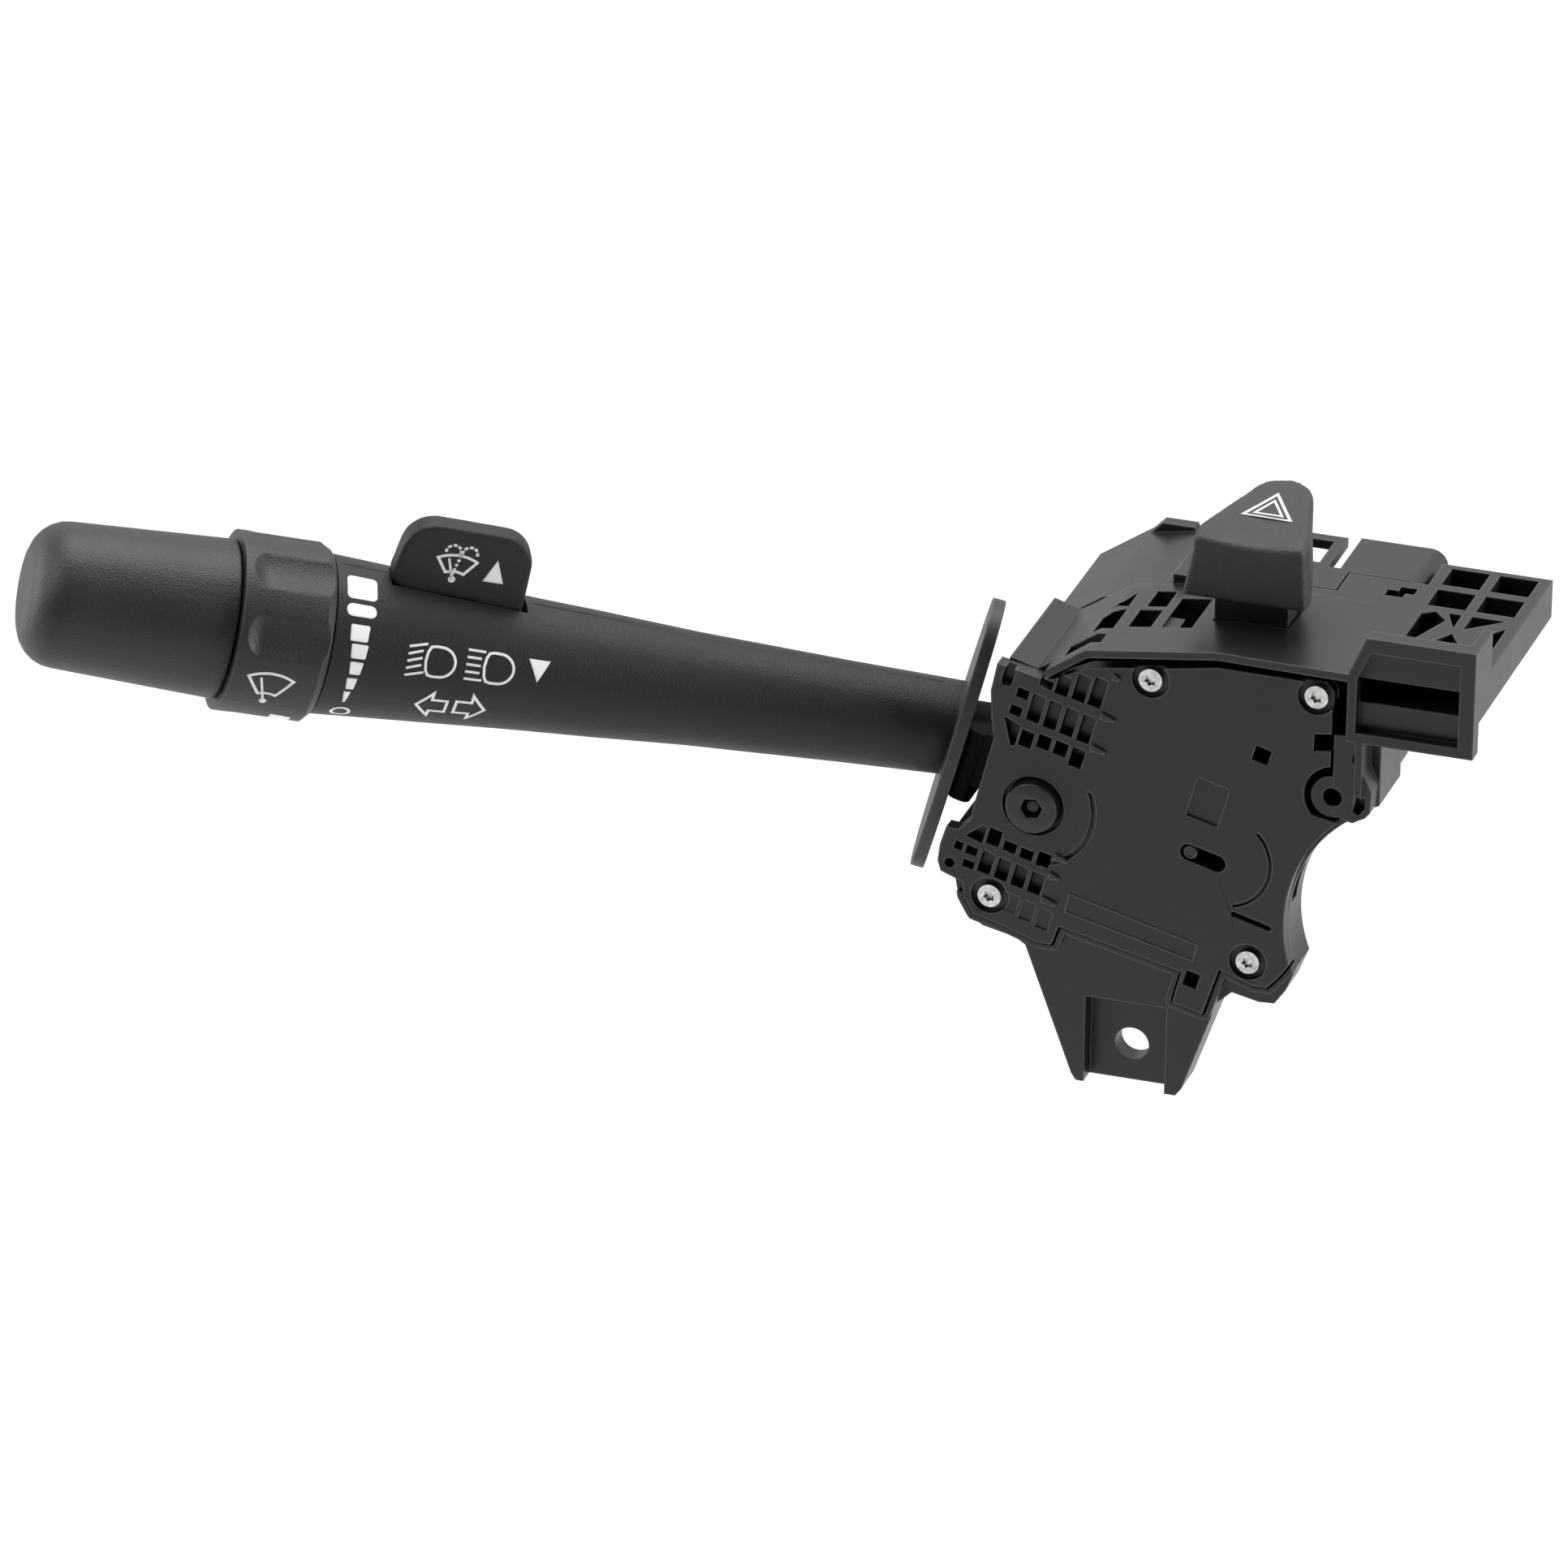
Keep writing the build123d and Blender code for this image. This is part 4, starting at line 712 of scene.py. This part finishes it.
@dataclass
class LeverMarks:
    """The symbols printed on the lever and its controls, and the painted shadow of its parting line."""

    printer: Printer
    line_mm: float = 0.56
    ray_mm: float = 0.5
    ray_starts_mm: tuple[float, float] = (-1.55, -2.25)
    ray_end_mm: float = -5.2
    lamp_height_mm: float = 6.6
    arrow_line_mm: float = 0.6
    screen_line_mm: float = 0.6
    blade_line_mm: float = 0.5
    hinge_mm: float = 0.75
    screen_deg: tuple[float, float] = (29.0, 24.0)
    spray_mm: tuple[float, float] = (8.6, 5.6)
    spray_drops: int = 5
    curl_mm: float = 1.5
    curl_places_mm: tuple[float, float, float] = (0.45, 1.65, 3.45)
    curl_step_deg: float = 42.0
    curl_dash_deg: float = 15.0
    drop_mm: float = 0.34
    drop_top_mm: float = 2.7
    drop_steps_mm: tuple[float, float] = (0.2, 1.05)
    zero_radii_mm: tuple[float, float] = (2.1, 1.45)
    paddle_face_mm: float = 2.6
    # Width, thickness and turn of the dark strip of painted shadow along the parting line
    seam_shadow_mm: float = 0.16
    seam_shadow_film_mm: float = 0.02
    seam_shadow_turn_deg: float = -4.0
    blocks: tuple[DelayBlock, ...] = (
        DelayBlock(20.6, 5.6, 6.1, 1.0, 6.1, 127.1), DelayBlock(39.6, 2.6, 6.1, 1.2, 6.1, 127.1),
        DelayBlock(56.2, 3.3, 3.9, 0.35, 3.6, 127.0), DelayBlock(69.4, 2.9, 3.4, 0.3, 3.0, 126.6),
        DelayBlock(82.2, 2.7, 2.7, 0.25, 2.2, 126.6), DelayBlock(95.2, 2.7, 2.1, 0.2, 1.6, 126.8),
        DelayBlock(108.3, 3.2, 1.4, 0.15, 0.5, 127.0))

    def lamp(self, name: str, slope: float) -> Mark:
        """A headlamp seen from the side, with five rays.

        Args:
            name: Name of the mark.
            slope: How far the rays fall towards their ends.

        Returns:
            The mark.
        """
        half = self.lamp_height_mm / 2 - self.line_mm / 2
        bowl = [(0.2, half), (0.9, half)] + arc_points(1.5, 0, half, 80, -80, 14)
        bowl += [(0.9, -half), (0.2, -half), (-0.7, -half * 0.93), (-1.25, -half * 0.6),
                 (-1.5, 0), (-1.25, half * 0.6), (-0.7, half * 0.93)]
        groups = [ribbon(bowl, self.line_mm, closed=True)]
        for step in range(5):
            level = half * (0.98 - 0.47 * step) + slope * 0.35
            start = self.ray_starts_mm[0 if step in (0, 4) else 1]
            groups.append(ribbon([(start, level), (self.ray_end_mm, level - slope)], self.ray_mm))
        return Mark(name, groups)

    def arrow(self, name: str, sign: int) -> Mark:
        """A hollow turn arrow.

        Args:
            name: Name of the mark.
            sign: -1 for one that points left and 1 for one that points right.

        Returns:
            The mark.
        """
        tip = [(3.1, 0.0), (0.2, 3.3), (0.2, 1.6), (-2.9, 1.6), (-2.9, -1.6), (0.2, -1.6), (0.2, -3.3)]
        return Mark(name, [ribbon([(sign * x, y) for x, y in tip], self.arrow_line_mm, closed=True)])

    def wiper(self, width: float, height: float) -> list[list[Loop]]:
        """A windscreen with one wiper.

        Args:
            width: Width of the screen.
            height: Height of the screen.

        Returns:
            The groups of loops.
        """
        reach = width * 0.95
        wide, narrow = self.screen_deg
        top = arc_points(0, height / 2 - reach, reach, 90 + wide, 90 - wide, 10)
        foot = arc_points(0, height / 2 - reach, reach - height * 0.66, 90 - narrow, 90 + narrow, 6)
        hinge = (-0.2, -height / 2 + 0.1)
        blade = [(-width * 0.2, height * 0.34), hinge]
        return [ribbon(top + foot, self.screen_line_mm, closed=True),
                ribbon(blade, self.blade_line_mm), [round_loop(*hinge, self.hinge_mm)]]

    def spray(self) -> list[list[Loop]]:
        """The windscreen with the washer's drops and their two curls.

        Returns:
            The groups of loops.
        """
        groups = self.wiper(*self.spray_mm)
        middle, aside, high = self.curl_places_mm
        for side in (-1, 1):
            for step in range(self.spray_drops):
                angle = 90 + side * self.curl_step_deg * (step - 2)
                curl = arc_points(middle + side * aside, high, self.curl_mm,
                                  angle - self.curl_dash_deg, angle + self.curl_dash_deg, 3)
                groups.append(ribbon(curl, self.screen_line_mm))
        across, down = self.drop_steps_mm
        for step in range(self.spray_drops):
            drop = round_loop(middle - across * step, self.drop_top_mm - down * step, self.drop_mm)
            groups.append([drop])
        return groups

    def print_delay_scale(self) -> None:
        """Prints the growing blocks and the zero of the wiper delay."""
        for number, block in enumerate(self.blocks):
            box = rounded_box(block.width, block.height, block.corner, block.foot)
            mark = Mark(f"delay_block_{number}", [[box]])
            self.printer.wrap(mark, block.along, block.turn_deg, Body.LEVER)
        zero = Mark("delay_zero", [[round_loop(0, 0, radius) for radius in self.zero_radii_mm]])
        self.printer.wrap(zero, 126.7, 129.0, Body.LEVER)

    def print_lever(self) -> None:
        """Prints the lamps, the pull mark and the turn arrows."""
        wrap = self.printer.wrap
        wrap(self.lamp("low_beam_mark", 0.95), 111.5, 69.2, Body.LEVER)
        wrap(self.lamp("high_beam_mark", 0.0), 99.6, 68.0, Body.LEVER)
        down = Mark("pull_mark", [[[(-2.2, 2.2), (2.2, 2.2), (0.1, -2.3)]]])
        wrap(down, 90.1, 65.0, Body.LEVER)
        wrap(self.arrow("turn_mark_left", -1), 109.6, 108.6, Body.LEVER)
        wrap(self.arrow("turn_mark_right", 1), 102.0, 107.8, Body.LEVER)

    def print_ring(self) -> None:
        """Prints the wiper and the pointer of the ring."""
        self.printer.wrap(Mark("wiper_mark", self.wiper(9.8, 7.6)), 143.0, 103.4, Body.RING)
        pointer = Mark("wiper_pointer", [[[(-2.1, -1.6), (2.1, -1.6), (2.1, 1.2), (-2.1, 1.8)]]])
        self.printer.wrap(pointer, 138.2, 137.0, Body.RING)

    def print_paddle(self, mark: Mark, along: float, up: float) -> None:
        """Prints one mark on the paddle's face.

        Args:
            mark: The symbol.
            along: Place of its middle along the lever's axis, in millimetres.
            up: Height of its middle over the axis, in millimetres.
        """
        lever = self.printer.lever
        face = lever.point(along, up, self.paddle_face_mm)
        self.printer.lay(mark, face, -lever.line, lever.up, Body.PADDLE)

    def draw_seam_shadows(self) -> None:
        """Lays the painted shadow of the mould's parting line, a dark strip, before and behind the paddle."""
        for name, start, end, along in (("lever_parting", -42.5, 42.5, 49.0),
                                        ("lever_parting_end", -5.8, 6.6, 125.0)):
            seam_shadow = Mark(name, [ribbon([(start, 0.0), (end, 0.0)], self.seam_shadow_mm)])
            self.printer.wrap(seam_shadow, along, self.seam_shadow_turn_deg, Body.LEVER, Finish.SEAM, self.seam_shadow_film_mm)

    def print_all(self) -> None:
        """Prints every mark in its place."""
        self.print_delay_scale()
        self.print_lever()
        self.print_ring()
        self.print_paddle(Mark("washer_mark", self.spray()), 109.4, 20.6)
        self.draw_seam_shadows()
        push = Mark("push_mark", [[[(-2.1, -2.5), (2.1, -2.5), (-0.1, 2.6)]]])
        self.print_paddle(push, 101.4, 21.0)


@dataclass
class HazardTop:
    """The button's sloping top, where its triangle is printed."""

    printer: Printer
    front_mm: tuple[float, float] = (-0.8, 110.1)
    rise: float = 6.0 / 22.0
    corners: tuple[tuple[float, float], ...] = ((15.6, 8.5), (20.5, 15.9), (25.3, 8.2))
    line_mm: float = 0.6
    inner_line_mm: float = 0.5
    inner_share: float = 0.58

    def print_triangle(self) -> None:
        """Prints the two nested triangles of the hazard lamps on the hollow top."""
        middle = (sum(x for x, _ in self.corners) / 3, sum(y for _, y in self.corners) / 3)
        local = [(x - middle[0], y - middle[1]) for x, y in self.corners]
        outer = ribbon(local, self.line_mm, closed=True)
        inner = ribbon([(x * self.inner_share, y * self.inner_share) for x, y in local],
                       self.inner_line_mm, closed=True)
        height = self.front_mm[1] + (middle[1] - self.front_mm[0]) * self.rise
        origin = Vector((middle[0], middle[1], height)) * MM
        up = Vector((0, 1, self.rise)).normalized()
        self.printer.lay(Mark("hazard_mark", [outer, inner]), origin, Vector((1, 0, 0)), up, Body.HAZARD,
                         ground=bpy.data.objects["hazard_button_moulding"])


@dataclass
class CoverTrim:
    """Raised frame and rib ends of the front cover, the pivot's head and the ring on the pawl's pin."""

    printer: Printer
    front_y_mm: float = -12.5
    frame_line_mm: float = 0.3
    frame_rise_mm: float = 0.16
    frame_corners: tuple[tuple[float, float], ...] = (
        (12.3, -15.2), (39.8, -14.9), (39.9, -18.6), (12.6, -19.3))
    rib_rise_mm: float = 0.6
    rib_half_mm: float = 0.7
    rib_tip_mm: tuple[float, float] = (-0.35, 0.25)
    rib_ends: tuple[tuple[float, float, float], ...] = (
        (7.3, 33.6, 1.4), (7.3, 24.6, 3.0), (7.3, 17.2, 3.2), (7.3, -8.6, 2.8),
        (7.3, -12.9, 2.2), (7.3, -18.6, 3.2))
    trunnion_y_mm: float = -11.9
    head_mm: float = 5.3
    head_rise_mm: float = 2.1
    head_rim_mm: float = 0.4
    key_mm: float = 2.3
    key_turn_deg: float = 22.0
    stub_mm: float = 1.25
    stub_rise_mm: float = 0.9
    stub_rim_mm: float = 0.2
    pin_spot_mm: tuple[float, float] = (32.6, 3.6)
    pin_radii_mm: tuple[float, float] = (1.25, 0.95)
    pin_depth_mm: float = 0.3
    pin_rise_mm: float = 0.12

    def mould(self) -> None:
        """Moulds every raised form in its place."""
        pivot = Vector(joint("turn_signal")["pos_m"])
        along = Vector(joint("cancel_push")["axis"]).normalized()
        up = Vector((-along.z, 0, along.x))
        self.mould_cover(Vector((pivot.x, self.front_y_mm * MM, pivot.z)), along, up)
        self.mould_head(Vector((pivot.x, self.trunnion_y_mm * MM, pivot.z)), along, up)
        front = Vector((pivot.x, (self.front_y_mm + self.pin_depth_mm) * MM, pivot.z))
        pin = Mark("pin_ring", [[round_loop(*self.pin_spot_mm, radius) for radius in self.pin_radii_mm]])
        self.printer.lay(pin, front, along, up, Body.PAWL, Finish.PIVOT, self.pin_rise_mm)

    def mould_cover(self, origin: Vector, along: Vector, up: Vector) -> None:
        """Moulds the bare frame and the pointed ends of the ribs.

        Args:
            origin: Point of the cover's face before the pivot.
            along: Direction of the cover's own right.
            up: Direction of the cover's own up.
        """
        outline = Mark("label_frame", [ribbon(list(self.frame_corners), self.frame_line_mm, closed=True)])
        half, (low, high) = self.rib_half_mm, self.rib_tip_mm
        ends = Mark("rib_ends", [[[(x, z - half), (x + reach, z + low), (x + reach, z + high), (x, z + half)]]
                                 for x, z, reach in self.rib_ends])
        for mark, film in ((outline, self.frame_rise_mm), (ends, self.rib_rise_mm)):
            self.printer.lay(mark, origin, along, up, Body.HOUSING, Finish.COVER, film)

    def mould_head(self, origin: Vector, along: Vector, up: Vector) -> None:
        """Moulds the head of the front trunnion, with the stub in its hexagon recess.

        Args:
            origin: Middle of the trunnion's face.
            along: Direction of the cover's own right.
            up: Direction of the cover's own up.
        """
        hexagon = round_loop(0, 0, self.key_mm, 6, self.key_turn_deg)
        head = Mark("pivot_head", [[round_loop(0, 0, self.head_mm), hexagon]])
        self.printer.lay(head, origin, along, up, Body.TURN, Finish.PIVOT, self.head_rise_mm,
                         rim_mm=self.head_rim_mm)
        stub = Mark("pivot_stub", [[round_loop(0, 0, self.stub_mm)]])
        self.printer.lay(stub, origin, along, up, Body.TURN, Finish.COVER, self.stub_rise_mm,
                         rim_mm=self.stub_rim_mm)


@dataclass
class SwitchBody:
    """Housing, cover, rear housing and what they hold."""

    shop: Workshop
    mouldings: tuple[tuple[str, Body, Finish, float], ...] = (
        ("main_housing", Body.HOUSING, Finish.HOUSING, 0.35),
        ("rear_housing", Body.HOUSING, Finish.HOUSING, 0.35),
        ("front_cover", Body.HOUSING, Finish.COVER, 0.22),
        ("turn_carrier", Body.TURN, Finish.ROOT, 0.25),
        ("lever_root", Body.LEVER, Finish.ROOT, 0.5),
        ("cancel_pawl", Body.PAWL, Finish.PIVOT, 0.2))
    painted: tuple[tuple[Finish, tuple[str, ...]], ...] = (
        (Finish.ZINC, ("cover_screws",)),
        (Finish.LAMINATE, ("contact_board", "wiper_board")),
        (Finish.BRASS, ("rear_terminals", "turn_contact_plate", "turn_wipers")),
        (Finish.NATURAL, ("detent_cam", "detent_plunger", "dimmer_plunger", "wiper_rotor")),
        (Finish.WIRE, ("hazard_spring", "cancel_spring", "detent_spring", "paddle_spring",
                       "dimmer_pin", "paddle_pin")),
        (Finish.PIVOT, ("wiper_spindle",)),
        (Finish.HOUSING, ("hazard_slider",)))

    def build(self) -> None:
        """Rounds the mouldings and paints the metal and inner pieces."""
        for node, body, finish, edge_mm in self.mouldings:
            self.shop.softened(node, body, finish, edge_mm)
        for finish, nodes in self.painted:
            for node in nodes:
                self.shop.paint_node(node, finish)


@dataclass
class LeverPieces:
    """Lever, ring, knob, paddle and hazard button."""

    shop: Workshop
    lever_frame: LeverFrame
    flange_end_mm: float = 15.0
    neck_radius_mm: float = 10.9
    skirt_top_mm: float = 107.0
    flare_mm: tuple[float, float] = (2.0, 0.7)

    def scuff_flange(self, lever: bpy.types.Object) -> None:
        """Gives the lever's flange its paler finish.

        Args:
            lever: The dressed lever, whose flange faces get the second finish.
        """
        lever.data.materials.append(self.shop.materials[Finish.SHIELD])
        line = self.lever_frame.line
        for face in lever.data.polygons:
            spots = [lever.data.vertices[i].co - self.lever_frame.start for i in face.vertices]
            along = max(spot.dot(line) for spot in spots)
            reach = max((spot - line * spot.dot(line)).length for spot in spots)
            if along < self.flange_end_mm * MM and reach > self.neck_radius_mm * MM:
                face.material_index = 1

    def flare_skirt(self, button: bpy.types.Object) -> None:
        """Widens the hazard button's skirt towards its foot, which leans out more on the left.

        Args:
            button: The dressed button.
        """
        spots = [vertex.co.copy() for vertex in button.data.vertices]
        left, right = min(spot.x for spot in spots), max(spot.x for spot in spots)
        foot = min(spot.z for spot in spots)
        top = self.skirt_top_mm * MM
        for vertex in button.data.vertices:
            share = min(max((top - vertex.co.z) / (top - foot), 0.0), 1.0)
            side = (2 * vertex.co.x - left - right) / (right - left)
            vertex.co.x += share * side * self.flare_mm[0 if side < 0 else 1] * MM
        button.data.update()

    def build(self) -> None:
        """Rounds and dresses what the driver's hand touches."""
        lever = self.shop.softened("lever", Body.LEVER, Finish.LEVER, 0.4)
        self.scuff_flange(lever)
        self.shop.softened("wiper_ring", Body.RING, Finish.KNOB, 0.5)
        self.shop.softened("end_knob", Body.LEVER, Finish.KNOB, 0.5)
        self.shop.melted("washer_paddle", Body.PADDLE, Finish.LEVER, 0.3, 50)
        button = self.shop.melted("hazard_button", Body.HAZARD, Finish.BUTTON, 0.36, 30)
        self.flare_skirt(button)


@dataclass(frozen=True)
class Softbox:
    """One soft square lamp: its name, its place and side in metres, and its power in watts."""

    name: str
    spot: Spot
    side: float
    watts: float


@dataclass
class Studio:
    """Camera, lamps, white surround and pale floor."""

    azimuth_deg: float = 17.47
    elevation_deg: float = 25.16
    roll_deg: float = 1.12
    camera_spot: Spot = (0.8022, -2.7870, 1.4151)
    focal_pixels: float = 20000.0
    sensor_mm: float = 36.0
    clip: tuple[float, float] = (0.05, 50.0)
    softboxes: tuple[Softbox, ...] = (
        Softbox("overhead_softbox", (-0.1, 0.2, 0.9), 0.7, 8.0),
        Softbox("key_softbox", (-0.75, -0.6, 0.8), 0.45, 5.0),
        Softbox("side_softbox", (1.2, 0.1, 0.3), 0.6, 14.0),
        Softbox("left_softbox", (-1.3, 0.0, 0.2), 0.5, 5.0))
    lamp_aim: Spot = (-0.06, 0.0, 0.05)
    lamp_tint: Spot = (1.0, 0.965, 0.93)
    dark_side: Spot = (0.27, -0.86, 0.43)
    dark_from: float = 0.05
    dark_full: float = 0.72
    dark_strength: float = 0.06
    diffuse_cut: float = 0.4
    floor_side: float = 14.0
    floor_z: float = -0.18
    floor_glow: float = 1.12
    seen_glow: float = 0.85
    mirrored_glow: float = 0.22

    def set_camera(self) -> None:
        """Places the camera at the photograph's viewing angle."""
        turn, rise, roll = (math.radians(a) for a in
                            (self.azimuth_deg, self.elevation_deg, self.roll_deg))
        right = Vector((math.cos(turn), math.sin(turn), 0))
        back = Vector((math.sin(turn) * math.cos(rise), -math.cos(turn) * math.cos(rise), math.sin(rise)))
        up = back.cross(right)
        rolled_right = right * math.cos(roll) + up * math.sin(roll)
        rolled_up = up * math.cos(roll) - right * math.sin(roll)
        data = bpy.data.cameras.new("studio_camera")
        data.sensor_width = self.sensor_mm
        data.lens = self.focal_pixels / IMAGE_SIDE * self.sensor_mm
        data.clip_start, data.clip_end = self.clip
        camera = bpy.data.objects.new("studio_camera", data)
        camera.matrix_world = Matrix.Translation(self.camera_spot) @ Matrix(
            (rolled_right, rolled_up, back)).transposed().to_4x4()
        bpy.context.scene.collection.objects.link(camera)
        bpy.context.scene.camera = camera

    def hang(self, box: Softbox) -> None:
        """Hangs one softbox that looks at the switch.

        Args:
            box: The softbox.
        """
        data = bpy.data.lights.new(box.name, "AREA")
        data.size = box.side
        data.energy = box.watts
        data.color = self.lamp_tint
        lamp = bpy.data.objects.new(box.name, data)
        lamp.location = box.spot
        aim = Vector(self.lamp_aim) - Vector(box.spot)
        lamp.rotation_euler = aim.to_track_quat("-Z", "Y").to_euler()
        bpy.context.scene.collection.objects.link(lamp)

    def set_surround(self) -> None:
        """Gives the white background, also to reflections, and the even light.

        The room darkens behind the camera, so that the faces towards it stay black.
        """
        world = bpy.data.worlds.new("white_room")
        bpy.context.scene.world = world
        world.use_nodes = True
        tree = world.node_tree
        tree.nodes.clear()
        rays = add_node(tree, "ShaderNodeLightPath")
        place = add_node(tree, "ShaderNodeTexCoord")
        facing = add_node(tree, "ShaderNodeVectorMath", {"operation": "DOT_PRODUCT"},
                          {1: self.dark_side}, {0: place.outputs["Generated"]})
        room = add_node(tree, "ShaderNodeMapRange", values={
            "From Min": self.dark_from, "From Max": self.dark_full,
            "To Min": 1.0, "To Max": self.dark_strength}, links={"Value": facing.outputs["Value"]})
        plain = add_node(tree, "ShaderNodeMath", {"operation": "MULTIPLY"}, {1: self.diffuse_cut},
                         {0: rays.outputs["Is Diffuse Ray"]})
        dim = add_node(tree, "ShaderNodeMath", {"operation": "SUBTRACT", "use_clamp": True},
                       links={0: room.outputs["Result"], 1: plain.outputs[0]})
        seen = add_node(tree, "ShaderNodeMath", {"operation": "MAXIMUM"},
                        links={0: rays.outputs["Is Camera Ray"], 1: rays.outputs["Is Transmission Ray"]})
        strength = add_node(tree, "ShaderNodeMath", {"operation": "MAXIMUM"},
                            links={0: seen.outputs[0], 1: dim.outputs[0]})
        sky = add_node(tree, "ShaderNodeBackground", values={"Color": srgb("ffffff")},
                       links={"Strength": strength.outputs[0]})
        add_node(tree, "ShaderNodeOutputWorld", links={"Surface": sky.outputs["Background"]})

    def lay_floor(self) -> None:
        """Lays a pale floor that takes a faint shadow."""
        bpy.ops.object.select_all(action="DESELECT")
        bpy.ops.mesh.primitive_plane_add(size=self.floor_side, location=(0, 0, self.floor_z))
        floor = bpy.context.active_object
        floor.name = "pale_floor"
        material, tree = fresh_material("pale_paper")
        rays = add_node(tree, "ShaderNodeLightPath")
        paper = add_node(tree, "ShaderNodeBsdfDiffuse", values={"Color": srgb("f4f4f4")})
        glow = add_node(tree, "ShaderNodeEmission", values={
            "Color": srgb("ffffff"), "Strength": self.floor_glow})
        seen = add_node(tree, "ShaderNodeMath", {"operation": "MULTIPLY"}, {1: self.seen_glow},
                        {0: rays.outputs["Is Camera Ray"]})
        mirrored = add_node(tree, "ShaderNodeMath", {"operation": "MULTIPLY_ADD"}, {1: self.mirrored_glow},
                            {0: rays.outputs["Is Glossy Ray"], 2: seen.outputs[0]})
        both = add_node(tree, "ShaderNodeMixShader", links={
            0: mirrored.outputs[0], 1: paper.outputs[0], 2: glow.outputs[0]})
        add_node(tree, "ShaderNodeOutputMaterial", links={"Surface": both.outputs[0]})
        floor.data.materials.append(material)

    def build(self) -> None:
        """Sets the whole studio."""
        bpy.context.scene.view_settings.view_transform = "Standard"
        self.set_camera()
        self.set_surround()
        for box in self.softboxes:
            self.hang(box)
        self.lay_floor()


def main() -> None:
    """Dresses the switch and sets the studio."""
    logging.basicConfig(level=logging.INFO, format="%(name)s: %(message)s")
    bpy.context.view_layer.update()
    shop = Workshop()
    lever = LeverFrame()
    printer = Printer(shop, lever)
    SwitchBody(shop).build()
    LeverPieces(shop, lever).build()
    LeverMarks(printer).print_all()
    HazardTop(printer).print_triangle()
    CoverTrim(printer).mould()
    Studio().build()


if __name__ == "__main__":
    main()
